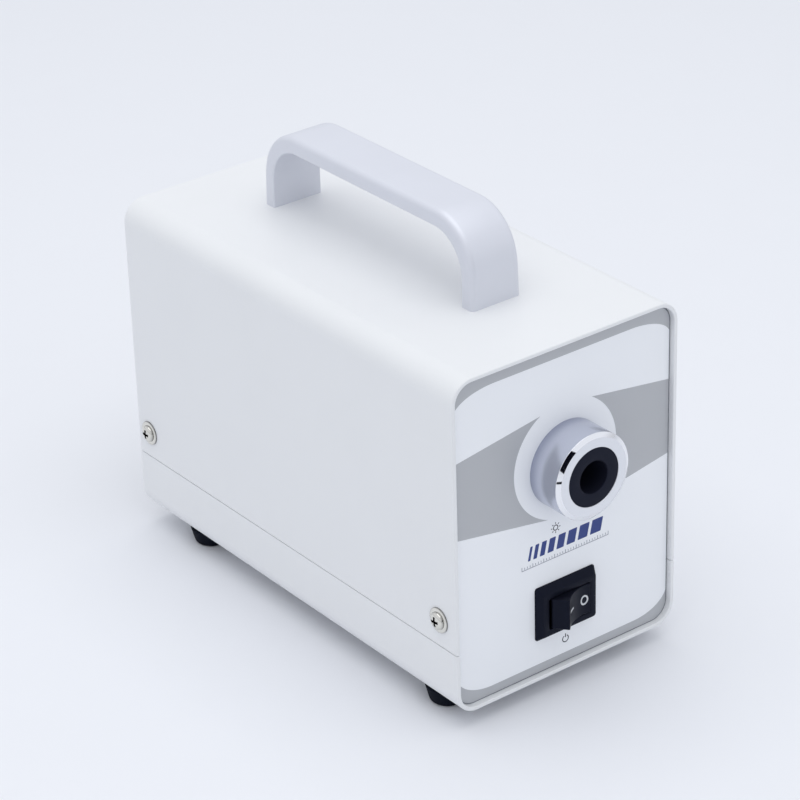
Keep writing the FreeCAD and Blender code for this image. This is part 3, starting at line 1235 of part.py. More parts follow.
def lamp_capsule():
    """Quartz capsule with its pinched base set in the reflector's neck."""
    base = NECK_BORE - FIT_GAP
    shoulder = Y_RIM + REFLECTOR_DEPTH + 1
    corners = [(0, Y_RIM + CAPSULE_TIP), (CAPSULE_RADIUS, Y_RIM + CAPSULE_TIP, CAPSULE_RADIUS * 0.8),
               (CAPSULE_RADIUS, shoulder), (base, shoulder), (base, Y_NECK), (0, Y_NECK)]
    return turned_y(corners, PORT_X, Z_PORT)


def lamp_pin_places():
    return [(PORT_X + x, Z_PORT) for x in both_sides(LAMP_PIN_PITCH / 2)]


def lamp_pins():
    return group(rod((x, Y_NECK, z), Y_AXIS, LAMP_PIN_RADIUS, LAMP_PIN_LENGTH)
                 for x, z in lamp_pin_places())


def lamp_socket():
    """Ceramic socket pushed onto the lamp's pins."""
    outline = rectangle(PORT_X, Z_PORT, SOCKET_BLOCK_WIDTH, SOCKET_BLOCK_HEIGHT, 3.0)
    block = along_y(outline, Y_NECK, Y_NECK + SOCKET_BLOCK_DEPTH)
    holes = [rod((x, Y_NECK - THROUGH, z), Y_AXIS, LAMP_PIN_RADIUS + FIT_GAP, SOCKET_BLOCK_DEPTH)
             for x, z in lamp_pin_places()]
    return cut_all(block, holes)


def filter_holder():
    """Ring with two ears that holds the filter glass in front of the lamp."""
    ear = M3[1] + CLIP_SHEET
    outline = rectangle(PORT_X, Z_PORT, 2 * (POST_OFFSET + ear), 2 * ear, 2 * ear * ALMOST_HALF)
    tie = along_y(outline, Y_FILTER_FRONT, Y_FILTER_BACK)
    thickness = Y_FILTER_BACK - Y_FILTER_FRONT
    ring = rod((PORT_X, Y_FILTER_FRONT, Z_PORT), Y_AXIS, FILTER_RING_RADIUS, thickness)
    y_seat = Y_FILTER_FRONT + FILTER_RING_LIP
    pocket = rod((PORT_X, y_seat, Z_PORT), Y_AXIS, FILTER_RADIUS + FIT_GAP, FILTER_THICKNESS + THROUGH)
    y_tool, depth = Y_FILTER_FRONT - THROUGH, thickness + 2 * THROUGH
    window = rod((PORT_X, y_tool, Z_PORT), Y_AXIS, FILTER_RADIUS - FILTER_LEDGE, depth)
    holes = [rod((x, y_tool, z), Y_AXIS, M3[0] + HOLE_GAP, depth) for x, z in post_places()]
    return cut_all(tie.fuse(ring).removeSplitter(), [pocket, window] + holes)


def heat_filter():
    y_seat = Y_FILTER_FRONT + FILTER_RING_LIP
    return rod((PORT_X, y_seat, Z_PORT), Y_AXIS, FILTER_RADIUS, FILTER_THICKNESS)


# ---------------------------------------------------------------- control board

def control_board():
    board = along_z(rectangle(0, Y_BOARD, BOARD_WIDTH, BOARD_DEPTH, 1.5), Z_BOARD, Z_BOARD_TOP)
    holes = [rod((x, y, Z_BOARD - THROUGH), Z_AXIS, M3[0] + HOLE_GAP, BOARD_SHEET + 2 * THROUGH)
             for x, y in board_hole_places()]
    return cut_all(board, holes)


def spacers():
    """Threaded spacers: four under the board, two between the bracket and the filter holder."""
    under_board = [sleeve((x, y, Z_DECK), Z_AXIS, STANDOFF_RADIUS, M3[0], STANDOFF_HEIGHT)
                   for x, y in board_hole_places()]
    posts = [sleeve((x, Y_FILTER_BACK, z), Y_AXIS, POST_RADIUS, M3[0], POST_LENGTH)
             for x, z in post_places()]
    return group(under_board + posts)


def board_screws():
    """One screw down through the board into each standoff."""
    return group(pan_screw(M3, (x, y, Z_BOARD_TOP), Z_AXIS, BOARD_SHEET + STANDOFF_HEIGHT)
                 for x, y in board_hole_places())


def heat_sink():
    """Extruded sink with upright fins, standing on the left half of the board."""
    def upright(x_low, x_high, y_low, y_high):
        return box(x_low, x_high, y_low, y_high, Z_BOARD_TOP, Z_BOARD_TOP + SINK_HEIGHT)

    base = upright(X_SINK, X_SINK + SINK_WIDTH, Y_SINK, Y_SINK + SINK_BASE)
    pitch = (SINK_WIDTH - SINK_FIN) / (SINK_FINS - 1)
    fin = upright(X_SINK, X_SINK + SINK_FIN, Y_SINK + SINK_BASE, Y_SINK + SINK_DEPTH)
    fins = [fin.translated(X_AXIS * i * pitch) for i in range(SINK_FINS)]
    return base.fuse(fins).removeSplitter()


def triac():
    """Power device on three legs, its metal tab flat against the sink's base."""
    x = X_SINK + SINK_WIDTH / 2
    width, thickness, height = TRIAC_SIZE
    tab_sheet, tab_height = TRIAC_TAB
    leg_side, leg_pitch, leg_length = TRIAC_LEG
    z_body = Z_BOARD_TOP + leg_length
    z_tab = z_body + height
    body = box(x - width / 2, x + width / 2, Y_SINK - thickness, Y_SINK, z_body, z_tab)
    tab = box(x - width / 2, x + width / 2, Y_SINK - tab_sheet, Y_SINK, z_tab, z_tab + tab_height)
    y_leg = Y_SINK - thickness / 2
    half = leg_side / 2
    leg = box(x - half, x + half, y_leg - half, y_leg + half, Z_BOARD_TOP, z_body)
    legs = [leg.translated(X_AXIS * i * leg_pitch) for i in (-1, 0, 1)]
    return body.fuse([tab] + legs).removeSplitter()


def suppression_choke():
    """Ring choke lying flat on the board, to the right of the sink."""
    low, high = Z_BOARD_TOP, Z_BOARD_TOP + CHOKE_HEIGHT
    corner = 2.0
    ring = [(CHOKE_EYE, low, corner), (CHOKE_RADIUS, low, corner), (CHOKE_RADIUS, high, corner),
            (CHOKE_EYE, high, corner)]
    return turned_z(ring, X_CHOKE, Y_BOARD)


def film_capacitor():
    """Boxed capacitor in front of the terminal block."""
    width, depth, height = CAPACITOR_SIZE
    outline = rectangle(X_TERMINALS, Y_TERMINALS - PARTS_GAP - depth / 2, width, depth, 0.8)
    return along_z(outline, Z_BOARD_TOP, Z_BOARD_TOP + height)


def terminal_block():
    """Row of screw terminals: screws from above, wire ways from behind."""
    length = TERMINAL_WAYS * TERMINAL_PITCH
    y_high = Y_TERMINALS + TERMINAL_DEPTH
    z_high = Z_BOARD_TOP + TERMINAL_HEIGHT
    block = box(X_TERMINALS - length / 2, X_TERMINALS + length / 2, Y_TERMINALS, y_high, Z_BOARD_TOP, z_high)
    half = TERMINAL_SCREW_RADIUS
    holes = []
    for i in range(TERMINAL_WAYS):
        x = X_TERMINALS + (i - (TERMINAL_WAYS - 1) / 2) * TERMINAL_PITCH
        sunk = TERMINAL_HEIGHT * 0.4
        holes.append(rod((x, Y_TERMINALS + TERMINAL_DEPTH / 2, z_high - sunk), Z_AXIS, half, sunk + THROUGH))
        holes.append(box(x - half, x + half, y_high - sunk, y_high + THROUGH,
                         Z_BOARD_TOP + TERMINAL_HEIGHT * 0.1, Z_BOARD_TOP + TERMINAL_HEIGHT * 0.5))
    return cut_all(block, holes)


# ---------------------------------------------------------------- all pieces

def pieces():
    made = {
        "top_cover": top_cover(),
        "bottom_tray": bottom_tray(),
        "side_rail_left": side_rail(-1),
        "side_rail_right": side_rail(1),
        "side_screws": side_screws(),
        "clinch_nuts": clinch_nuts(),
        "front_panel": front_panel(),
        "front_overlay": front_overlay(),
        "rear_panel": rear_panel(),
        "tray_screws": tray_screws(),
        "port_collar": port_collar(),
        "port_insert": port_insert(),
        "port_locknut": port_locknut(),
        "switch_housing": switch_housing(),
        "switch_rocker": switch_rocker(),
        "switch_terminals": switch_terminals(),
        "carry_handle": carry_handle(),
        "handle_screws": handle_screws(),
        "foot_screws": foot_screws(),
        "fan_frame": fan_frame(),
        "fan_rotor": fan_rotor(),
        "fan_guard": fan_guard(),
        "fan_screws": fan_screws(),
        "hex_nuts": hex_nuts(),
        "mains_inlet": mains_inlet(),
        "inlet_contacts": inlet_contacts(),
        "inlet_screws": inlet_screws(),
        "fuse_drawer": fuse_drawer(),
        "fuse": fuse(),
        "potentiometer": potentiometer(),
        "control_nut": control_nut(),
        "control_shaft": control_shaft(),
        "intensity_knob": intensity_knob(),
        "equipment_deck": equipment_deck(),
        "transformer": transformer(),
        "transformer_pads": transformer_pads(),
        "transformer_dish": transformer_dish(),
        "transformer_bolt": transformer_bolt(),
        "transformer_nut": transformer_nut(),
        "lamp_bracket": lamp_bracket(),
        "lamp_screws": lamp_screws(),
        "lamp_clips": lamp_clips(),
        "lamp_reflector": lamp_reflector(),
        "lamp_capsule": lamp_capsule(),
        "lamp_pins": lamp_pins(),
        "lamp_socket": lamp_socket(),
        "filter_holder": filter_holder(),
        "heat_filter": heat_filter(),
        "control_board": control_board(),
        "spacers": spacers(),
        "board_screws": board_screws(),
        "heat_sink": heat_sink(),
        "triac": triac(),
        "suppression_choke": suppression_choke(),
        "film_capacitor": film_capacitor(),
        "terminal_block": terminal_block(),
    }
    for name, place in foot_places().items():
        made[name] = foot(place)
    return made


os.makedirs("parts", exist_ok=True)
for name, shape in pieces().items():
    shape.exportStep(os.path.join("parts", name + ".step"))
    print(f"{name:20s} solids {len(shape.Solids):2d}  volume {shape.Volume:10.1f}  valid {shape.isValid()}")
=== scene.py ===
# %% [markdown]
# # A fiber optic illuminator
#
# A halogen cold light source is a lamp, a transformer and a fan in a folded steel case. Its
# light leaves through the round port in front, where a light guide is pushed in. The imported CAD
# model holds every piece at its real size. This lesson gives the pieces their finishes, and
# models again the ones that the eye rests on.
#
# The first lines load that model as a fixed frame. Everything below takes its place from it.

# %% Load the frame
import json
import math

import bmesh
import bpy
from mathutils import Matrix, Quaternion, Vector


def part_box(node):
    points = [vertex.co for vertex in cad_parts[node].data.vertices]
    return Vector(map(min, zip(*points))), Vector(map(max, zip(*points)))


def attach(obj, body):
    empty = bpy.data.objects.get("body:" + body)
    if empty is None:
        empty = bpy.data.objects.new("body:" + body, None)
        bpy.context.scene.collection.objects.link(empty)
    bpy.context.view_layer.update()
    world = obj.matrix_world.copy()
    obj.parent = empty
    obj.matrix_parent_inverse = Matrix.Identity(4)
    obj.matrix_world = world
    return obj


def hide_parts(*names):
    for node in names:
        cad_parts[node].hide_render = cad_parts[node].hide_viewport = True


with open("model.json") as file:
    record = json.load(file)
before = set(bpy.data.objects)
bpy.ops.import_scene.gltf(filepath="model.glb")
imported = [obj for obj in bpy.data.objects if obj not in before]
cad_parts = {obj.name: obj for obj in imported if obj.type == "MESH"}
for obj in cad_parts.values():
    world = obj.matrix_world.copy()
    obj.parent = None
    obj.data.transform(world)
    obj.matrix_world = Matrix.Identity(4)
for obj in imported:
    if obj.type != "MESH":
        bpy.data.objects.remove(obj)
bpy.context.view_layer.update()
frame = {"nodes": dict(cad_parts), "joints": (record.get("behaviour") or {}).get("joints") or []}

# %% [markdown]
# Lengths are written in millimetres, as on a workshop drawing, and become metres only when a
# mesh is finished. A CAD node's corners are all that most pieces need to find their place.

MM = 0.001


def extent(node):
    """Lowest and highest corner of a CAD node, in millimetres."""
    low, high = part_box(node)
    return low / MM, high / MM


def joint_place(name):
    """Where a joint sits, in millimetres."""
    joint = next(joint for joint in frame["joints"] if joint["name"] == name)
    return Vector(joint["pos_m"]) / MM


# %% [markdown]
# ## Node trees as sentences
#
# Finishes and repeated parts are both node trees. Wiring them by hand hides the idea behind the
# plumbing, so one small class wraps a socket and lets arithmetic add the Math nodes. Another
# adds any other node from its type, its settings and its inputs.

# %% Signals and trees
class Signal:
    """A value on its way through a node tree. Arithmetic on it adds Math nodes."""

    def __init__(self, tree, socket):
        self.tree = tree
        self.socket = socket

    def maths(self, operation, *values):
        """Adds a Math node by the name of its operation."""
        return self.tree.add("ShaderNodeMath", {"operation": operation}, dict(enumerate(values)))

    def __add__(self, other):
        return self.maths("ADD", self, other)

    def __sub__(self, other):
        return self.maths("SUBTRACT", self, other)

    def __rsub__(self, other):
        return self.maths("SUBTRACT", other, self)

    def __mul__(self, other):
        return self.maths("MULTIPLY", self, other)

    def __truediv__(self, other):
        return self.maths("DIVIDE", self, other)

    def __pow__(self, other):
        return self.maths("POWER", self, other)

    __radd__ = __add__
    __rmul__ = __mul__


class Tree:
    """A node tree that grows one node at a time."""

    def __init__(self, inner):
        self.inner = inner

    def add(self, kind, settings=None, values=None, output=0):
        """Adds a node from its settings and its values or links by socket; a Signal comes back."""
        node = self.inner.nodes.new(kind)
        for name, value in (settings or {}).items():
            setattr(node, name, value)
        for key, value in (values or {}).items():
            socket = node.inputs[key]
            for given in value if isinstance(value, list) else [value]:
                if isinstance(given, Signal):
                    self.inner.links.new(given.socket, socket)
                else:
                    socket.default_value = given
        return Signal(self, node.outputs[output])


# %% [markdown]
# ## Finishes
#
# A real surface is never one flat colour. Powder coat has an orange-peel skin, moulded plastic
# a fine spark-eroded grain, turned metal its tool marks. Each finish here is one Principled
# shader: what is the same all over is set on the shader, and what varies is linked to it.
# Patterns read object coordinates, so they stay put on the piece from every side.

# %% The finish class
def ink(red, green, blue):
    """A display colour of 0 to 255 as the linear values that a shader takes."""
    parts = [value / 255 for value in (red, green, blue)]
    linear = [part / 12.92 if part <= 0.04045 else ((part + 0.055) / 1.055) ** 2.4 for part in parts]
    return (*linear, 1.0)


class Finish(Tree):
    """A Principled material whose varying inputs are fed by signals."""

    def __init__(self, name, colour, roughness, metallic=0.0, even=None):
        self.material = bpy.data.materials.new(name)
        self.material.use_nodes = True
        super().__init__(self.material.node_tree)
        self.shader = self.inner.nodes["Principled BSDF"]
        self.colour, self.roughness = colour, roughness
        fixed = {"Base Color": colour, "Roughness": roughness, "Metallic": metallic, **(even or {})}
        for socket, value in fixed.items():
            self.shader.inputs[socket].default_value = value

    def feed(self, socket, signal):
        """Links a signal to an input of the shader."""
        self.inner.links.new(signal.socket, self.shader.inputs[socket])

    def place(self):
        """Object coordinates of the point."""
        return self.add("ShaderNodeTexCoord", output="Object")

    def noise(self, size, detail=2.0):
        """Cloudy pattern from 0 to 1 whose features are about this many millimetres wide."""
        values = {"Vector": self.place(), "Scale": 1 / (size * MM), "Detail": detail}
        return self.add("ShaderNodeTexNoise", values=values)

    def blend(self, factor, first, second):
        """Mix of two colours, first where the factor is 0."""
        values = {0: factor, 6: first, 7: second}
        return self.add("ShaderNodeMix", {"data_type": "RGBA"}, values, output=2)

    def skin(self, height, depth):
        """Raises the surface by the height signal, to a depth in millimetres."""
        values = {"Height": height, "Distance": depth * MM, "Strength": 1.0}
        self.feed("Normal", self.add("ShaderNodeBump", values=values))

    def weather(self, grain, depth, tint=0.05, spread=0.08, drift=35):
        """Everyday life of a surface: grain in its skin, drifting gloss and a little uneven colour."""
        fine = self.noise(grain)
        broad = self.noise(drift, detail=3.0)
        darker = tuple(part * (1 - tint) for part in self.colour[:3]) + (1.0,)
        self.feed("Base Color", self.blend(broad, darker, self.colour))
        self.feed("Roughness", self.roughness - spread / 2 + spread * (0.5 * fine + 0.5 * broad))
        self.skin(fine, depth)
        return self


# %% [markdown]
# The plain finishes differ only in numbers, so they are one list: colour, roughness, metal,
# then the width and depth of the grain in millimetres. The powder coat's grain is wide and
# soft. The black plastics have the fine grain of an eroded mould. A screw gets painted shade,
# a darker base colour, in the corners that the grown screws mark with an attribute of their own.

# %% The list of finishes
GLASS = {"Transmission Weight": 0.95, "IOR": 1.47}
DULL = {"Specular IOR Level": 0.12, "Specular Tint": (0.6, 0.7, 1.0, 1.0)}
SLOTS = {
    "case_paint": ((234, 235, 237), 0.42, 0, 0.9, 0.006, None),
    "panel_paint": ((231, 232, 235), 0.45, 0, 0.9, 0.006, None),
    "panel_film": ((243, 245, 249), 0.34, 0, 0.35, 0.001, {"Coat Weight": 0.15}),
    "handle_metal": ((222, 224, 232), 0.42, 0.3, 0.25, 0.001, None),
    "insert_black": ((24, 26, 38), 0.5, 0, 0.3, 0.002, DULL),
    "switch_black": ((18, 20, 31), 0.4, 0, 0.25, 0.003, DULL),
    "rubber_black": ((14, 17, 26), 0.7, 0, 0.6, 0.01, DULL),
    "screw_steel": ((226, 224, 216), 0.14, 1, 0.5, 0.0005, None),
    "guard_chrome": ((226, 228, 232), 0.12, 1, 3.0, 0.002, None),
    "fan_black": ((30, 31, 35), 0.48, 0, 0.3, 0.004, None),
    "inlet_black": ((26, 27, 31), 0.42, 0, 0.25, 0.004, None),
    "contact_brass": ((206, 178, 118), 0.3, 1, 0.6, 0.002, None),
    "fuse_glass": ((225, 228, 224), 0.12, 0, 2.0, 0.001, GLASS),
    "filter_glass": ((196, 226, 214), 0.06, 0, 8.0, 0.001, GLASS),
    "reflector_glass": ((216, 220, 226), 0.16, 0.9, 2.4, 0.02, None),
    "quartz": ((235, 236, 238), 0.08, 0, 3.0, 0.001, GLASS),
    "lamp_ceramic": ((232, 228, 216), 0.6, 0, 0.5, 0.006, None),
    "inner_steel": ((182, 185, 188), 0.38, 0.9, 1.4, 0.003, None),
    "control_metal": ((188, 188, 190), 0.33, 1, 0.6, 0.002, None),
    "winding_tape": ((204, 172, 60), 0.4, 0, 1.5, 0.02, None),
    "board_green": ((32, 96, 58), 0.38, 0, 0.8, 0.002, None),
    "sink_black": ((32, 32, 34), 0.5, 0.6, 0.4, 0.003, None),
    "choke_tape": ((150, 92, 44), 0.4, 0, 1.2, 0.05, None),
    "capacitor_yellow": ((214, 170, 52), 0.32, 0, 1.0, 0.002, None),
    "terminal_green": ((46, 122, 72), 0.42, 0, 0.4, 0.003, None),
}
PLASTIC_TINT, METAL_TINT = 0.03, 0.08
SHADE_MASK_NAME = "crevice"
PAINTED_CORNER_SHADE = ink(58, 60, 66)

finishes = {}
for slot, (shade, roughness, metallic, grain, depth, even) in SLOTS.items():
    finish = Finish(slot + "_finish", ink(*shade), roughness, metallic, even)
    finishes[slot] = finish.weather(grain, depth, METAL_TINT if metallic else PLASTIC_TINT)
# Painted shade: the screw steel's base colour darkens to a dark grey where the grown screws' stored
# corner mask is high, at the foot of each dome and down in the cross recess.
steel = finishes["screw_steel"]
crevice = steel.add("ShaderNodeAttribute", {"attribute_name": SHADE_MASK_NAME}, output="Fac")
steel.feed("Base Color", steel.blend(crevice, steel.colour, PAINTED_CORNER_SHADE))
print("Plain finishes:", len(finishes))

# %% [markdown]
# The collar is turned from aluminium in one chucking: a satin bead-blasted side, a polished
# chamfer, and a face with the fine rings of the tool. The side's colour is darker at its root:
# painted shade where the collar meets the panel. One material tells them apart by how far a
# point lies from the collar's axis, and how far in front of the panel.

# %% Turned metal of the light port
collar_low, collar_high = extent("port_collar")
PORT = Vector(((collar_low.x + collar_high.x) / 2, 0, (collar_low.z + collar_high.z) / 2))
COLLAR_RADIUS = (collar_high.x - collar_low.x) / 2
COLLAR_CHAMFER = (1.9, 1.1)
TURNING_PITCH, TURNING_DEPTH = 0.22, 0.002
BLAST_GRAIN, SIDE_DRIFT = 0.2, 12
EDGE_MARGIN, ROOT_REACH = 0.1, 6.5
SIDE_ROUGHNESS, BLAST_SPREAD, POLISH = 0.2, 0.06, 0.18
SIDE_METAL, CHAMFER_GAIN, FACE_LOSS = 0.92, 0.08, 0.5
SIDE_DARK, SIDE_LIGHT, PAINTED_ROOT_SHADE = ink(200, 203, 216), ink(212, 215, 226), ink(172, 176, 193)
CHAMFER_SHADE, FACE_SHADE = ink(242, 243, 246), ink(228, 230, 236)
face_y = extent("front_overlay")[0].y

turned_metal = Finish("collar_metal_finish", ink(205, 206, 214), 0.34, 0.85)
spot = turned_metal.place()
offset = turned_metal.add("ShaderNodeVectorMath", {"operation": "SUBTRACT"}, {0: spot, 1: PORT * MM})
across = turned_metal.add("ShaderNodeVectorMath", {"operation": "MULTIPLY"}, {0: offset, 1: (1, 0, 1)})
radius = turned_metal.add("ShaderNodeVectorMath", {"operation": "LENGTH"}, {0: across}, output="Value")
ahead = turned_metal.add("ShaderNodeSeparateXYZ", values={"Vector": spot}, output="Y")
chamfer_end = (collar_low.y + COLLAR_CHAMFER[1] + EDGE_MARGIN) * MM
in_front = ahead.maths("LESS_THAN", ahead, chamfer_end)
on_face = radius.maths("LESS_THAN", radius, (COLLAR_RADIUS - COLLAR_CHAMFER[0]) * MM) * in_front
on_chamfer = in_front - on_face
phase = radius * (2 * math.pi / (TURNING_PITCH * MM))
rings = phase.maths("SINE", phase)
blasted = turned_metal.noise(BLAST_GRAIN)
turned_metal.feed("Roughness", SIDE_ROUGHNESS + BLAST_SPREAD * blasted - POLISH * on_chamfer)
turned_metal.feed("Metallic", SIDE_METAL + CHAMFER_GAIN * on_chamfer - FACE_LOSS * on_face)
# Painted shade: the side's base colour darkens towards the panel over the last few millimetres before
# it.
root = turned_metal.add("ShaderNodeMapRange", {"interpolation_type": "SMOOTHSTEP"}, {
    "Value": ahead, "From Min": (face_y - ROOT_REACH) * MM, "From Max": face_y * MM})
side_colour = turned_metal.blend(turned_metal.noise(SIDE_DRIFT), SIDE_DARK, SIDE_LIGHT)
side_colour = turned_metal.blend(root, side_colour, PAINTED_ROOT_SHADE)
front_colour = turned_metal.blend(on_face, CHAMFER_SHADE, FACE_SHADE)
turned_metal.feed("Base Color", turned_metal.blend(in_front, side_colour, front_colour))
turned_metal.skin(rings * on_face + blasted * (1 - in_front), TURNING_DEPTH)
finishes["collar_metal"] = turned_metal
print("Collar radius in mm:", round(COLLAR_RADIUS, 2))

# %% [markdown]
# Every CAD node arrives with a material named after its slot. Its place is taken by the finish
# of that slot, so that also the pieces that keep their CAD mesh are dressed.

# %% Dress the CAD nodes
for node in frame["nodes"].values():
    for slot in node.material_slots:
        slot.material = finishes[slot.material.name.split(".")[0]].material
print("CAD nodes dressed:", len(frame["nodes"]))

# %% [markdown]
# ## From outline to piece
#
# Most of the outside is made from a few outlines. An outline is a list of corners, where a
# third number rounds the corner, as a radius on a drawing does.

# %% Outlines
QUARTERS = ((-1, -1), (1, -1), (1, 1), (-1, 1))


def rounded(corners, steps=8):
    """Points of an outline; a third value rounds that corner to a radius."""
    points = []
    for i, corner in enumerate(corners):
        here = Vector(corner[:2])
        if len(corner) < 3:
            points.append(here)
            continue
        before = (Vector(corners[i - 1][:2]) - here).normalized()
        after = (Vector(corners[(i + 1) % len(corners)][:2]) - here).normalized()
        half = before.angle(after) / 2
        centre = here + (before + after).normalized() * (corner[2] / math.sin(half))
        start = here + before * (corner[2] / math.tan(half)) - centre
        sweep = math.copysign(math.pi - 2 * half, before.x * after.y - before.y * after.x)
        for k in range(steps + 1):
            turn = -sweep * k / steps
            swung = Vector((start.x * math.cos(turn) - start.y * math.sin(turn),
                            start.x * math.sin(turn) + start.y * math.cos(turn)))
            points.append(centre + swung)
    return points


def box_outline(u_middle, v_middle, width, height, radius, steps=8):
    """Rectangle with four equal round corners."""
    corners = [(u_middle + a * width / 2, v_middle + b * height / 2, radius) for a, b in QUARTERS]
    return rounded(corners, steps)


# %% [markdown]
# An outline is extruded, turned, or skinned from one loop to the next. Edit mode extrudes and
# spins as well, but a list of loops also lets the outline change on its way, as it does on the
# bezel, the handle and the knob.

# %% Skins
def skinned(loops, ring=False):
    """Skin over closed loops of equally many points, capped at both ends or joined in a ring."""
    bm = bmesh.new()
    rows = [[bm.verts.new(point) for point in loop] for loop in loops]
    pairs = list(zip(rows, rows[1:])) + ([(rows[-1], rows[0])] if ring else [])
    for near, far in pairs:
        for i in range(len(near)):
            j = (i + 1) % len(near)
            bm.faces.new((near[i], near[j], far[j], far[i]))
    if not ring:
        bm.faces.new(rows[0])
        bm.faces.new(rows[-1][::-1])
    return bm


def along_y(outline, low, high):
    """Prism along Y over an (x, z) outline."""
    return skinned([[(u, y, v) for u, v in outline] for y in (low, high)])


def turned(outline, x, z, steps, axis="Y"):
    """Solid turned from a (radius, along) outline, about Y or Z through a point across it."""
    loops = []
    for k in range(steps):
        turn = 2 * math.pi * k / steps
        out, up = math.cos(turn), math.sin(turn)
        if axis == "Y":
            loops.append([(x + r * out, along, z + r * up) for r, along in outline])
        else:
            loops.append([(x + r * out, z + r * up, along) for r, along in outline])
    return skinned(loops, ring=True)


def together(parts):
    """Several bmeshes as one."""
    whole = bmesh.new()
    for part in parts:
        mesh = bpy.data.meshes.new("part")
        part.to_mesh(mesh)
        part.free()
        whole.from_mesh(mesh)
        bpy.data.meshes.remove(mesh)
    return whole


# %% [markdown]
# Outlines are drawn in millimetres, and only a finished mesh is scaled to metres. Its doubles
# are merged and its faces turned outwards. Smooth shading stops at every edge sharper than an
# angle. A piece then rides its body, in the finish of its slot or in a coat of its own.

# %% Finished pieces
MERGE = 0.0005


def mesh_of(bm, scale=MM):
    """Mesh in metres from a bmesh in millimetres: merged, faces outwards."""
    bmesh.ops.remove_doubles(bm, verts=bm.verts, dist=MERGE * MM / scale)
    bmesh.ops.recalc_face_normals(bm, faces=bm.faces)
    bm.transform(Matrix.Scale(scale, 4))
    mesh = bpy.data.meshes.new("mesh")
    bm.to_mesh(mesh)
    bm.free()
    return mesh


def creased(mesh, angle=35):
    """Smooth shading that stops at edges sharper than an angle in degrees."""
    mesh.shade_smooth()
    mesh.set_sharp_from_angle(angle=math.radians(angle))
    return mesh


def evaluated(host):
    """Plain mesh of an object with its modifiers; the object goes."""
    bpy.context.scene.collection.objects.link(host)
    mesh = bpy.data.meshes.new_from_object(host.evaluated_get(bpy.context.evaluated_depsgraph_get()))
    bpy.data.objects.remove(host)
    return mesh


def softened(mesh, width, segments=2):
    """The mesh with its weighted edges rounded to a width in millimetres."""
    host = bpy.data.objects.new("host", mesh)
    bevel = host.modifiers.new("edges", "BEVEL")
    bevel.width, bevel.segments = width * MM, segments
    bevel.limit_method = "WEIGHT"
    bevel.use_clamp_overlap, bevel.loop_slide, bevel.harden_normals = False, False, True
    return evaluated(host)


def seated(name, mesh, slot, stands_for=(), body="case", coat=None):
    """Names a mesh as a piece, gives it its slot's finish or a coat, and lets it ride its body."""
    piece = bpy.data.objects.new(name, mesh)
    mesh.name = name
    mesh.materials.clear()
    mesh.materials.append((coat or finishes[slot]).material)
    bpy.context.scene.collection.objects.link(piece)
    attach(piece, body)
    if stands_for:
        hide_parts(*stands_for)
    print(f"{name}: {len(mesh.polygons)} faces")
    return piece


# %% [markdown]
# ## The case
#
# Cover and tray are folded from 1.8 mm sheet and powder coated. The CAD mesh is exact, but its
# edges are razor sharp, and a real edge always catches a line of light. Nothing here has to be
# modelled twice: a copy of the node is merged, its flat triangles are dissolved, and a bevel
# rounds what is left of the edges. A flat face with a dent in its outline is parted first,
# because a bevelled one can be filled wrongly. Small holes stay crisp. The powder rounds the
# sheet's rims more than the edges of plastic.

# %% Cover, tray and the other soft-edged copies
SMALL_HOLE = 13.0
FLAT_ANGLE, SHARP_ANGLE = math.radians(1), math.radians(30)


def sharp_loops(bm):
    """Sharp edges in groups that touch each other."""
    waiting = {edge for edge in bm.edges if edge.is_manifold and edge.calc_face_angle() > SHARP_ANGLE}
    while waiting:
        loop, front = set(), {waiting.pop()}
        while front:
            loop |= front
            near = {other for edge in front for vert in edge.verts for other in vert.link_edges}
            front = near & waiting
            waiting -= front
        yield loop


def refined(node, width, slot, segments=2, body="case"):
    """A piece that stands for a CAD node: the same shape with rounded edges."""
    bm = bmesh.new()
    bm.from_mesh(frame["nodes"][node].data)
    bmesh.ops.remove_doubles(bm, verts=bm.verts, dist=MERGE * MM)
    bmesh.ops.dissolve_limit(bm, angle_limit=FLAT_ANGLE, verts=bm.verts, edges=bm.edges)
    bmesh.ops.connect_verts_concave(bm, faces=bm.faces)
    weight = bm.edges.layers.float.new("bevel_weight_edge")
    for loop in sharp_loops(bm):
        spots = [vert.co for edge in loop for vert in edge.verts]
        reach = max(max(spot[i] for spot in spots) - min(spot[i] for spot in spots) for i in range(3))
        for edge in loop:
            edge.smooth = False
            edge[weight] = float(reach > SMALL_HOLE * MM)
    mesh = bpy.data.meshes.new(node)
    bm.to_mesh(mesh)
    bm.free()
    return seated("shaped_" + node, softened(mesh, width, segments), slot, [node], body)


refined("top_cover", 0.5, "case_paint", 3)
refined("bottom_tray", 0.4, "case_paint", 3)
refined("rear_panel", 0.25, "panel_paint")
refined("switch_rocker", 0.35, "switch_black", 3, "rocker")
refined("fan_frame", 0.4, "fan_black")
refined("mains_inlet", 0.35, "inlet_black", 3)
refined("fuse_drawer", 0.25, "inlet_black", 3, "drawer")

# %% [markdown]
# ## The light port
#
# The collar and its black insert are bodies of revolution, so each is one outline turned in
# 128 steps. The Screw modifier would turn it as well, but a ring of loops closes with no seam.
# Real turned edges are broken by a few tenths of a millimetre, and the thin line of light on
# them is what makes metal look cut. The locknut behind the panel stays as it is.

# %% Collar and insert
insert_low, insert_high = extent("port_insert")
INSERT_RADIUS = (insert_high.x - insert_low.x) / 2
GUIDE_RADIUS, NECK_RADIUS = 7.1, 15.0
STOP_RADIUS, STOP_LENGTH = 6.0, 3.0
CLEARANCE = 0.05
PORT_STEPS = 128
bore = INSERT_RADIUS + CLEARANCE
front, back = collar_low.y, collar_high.y
stop_y = back - STOP_LENGTH

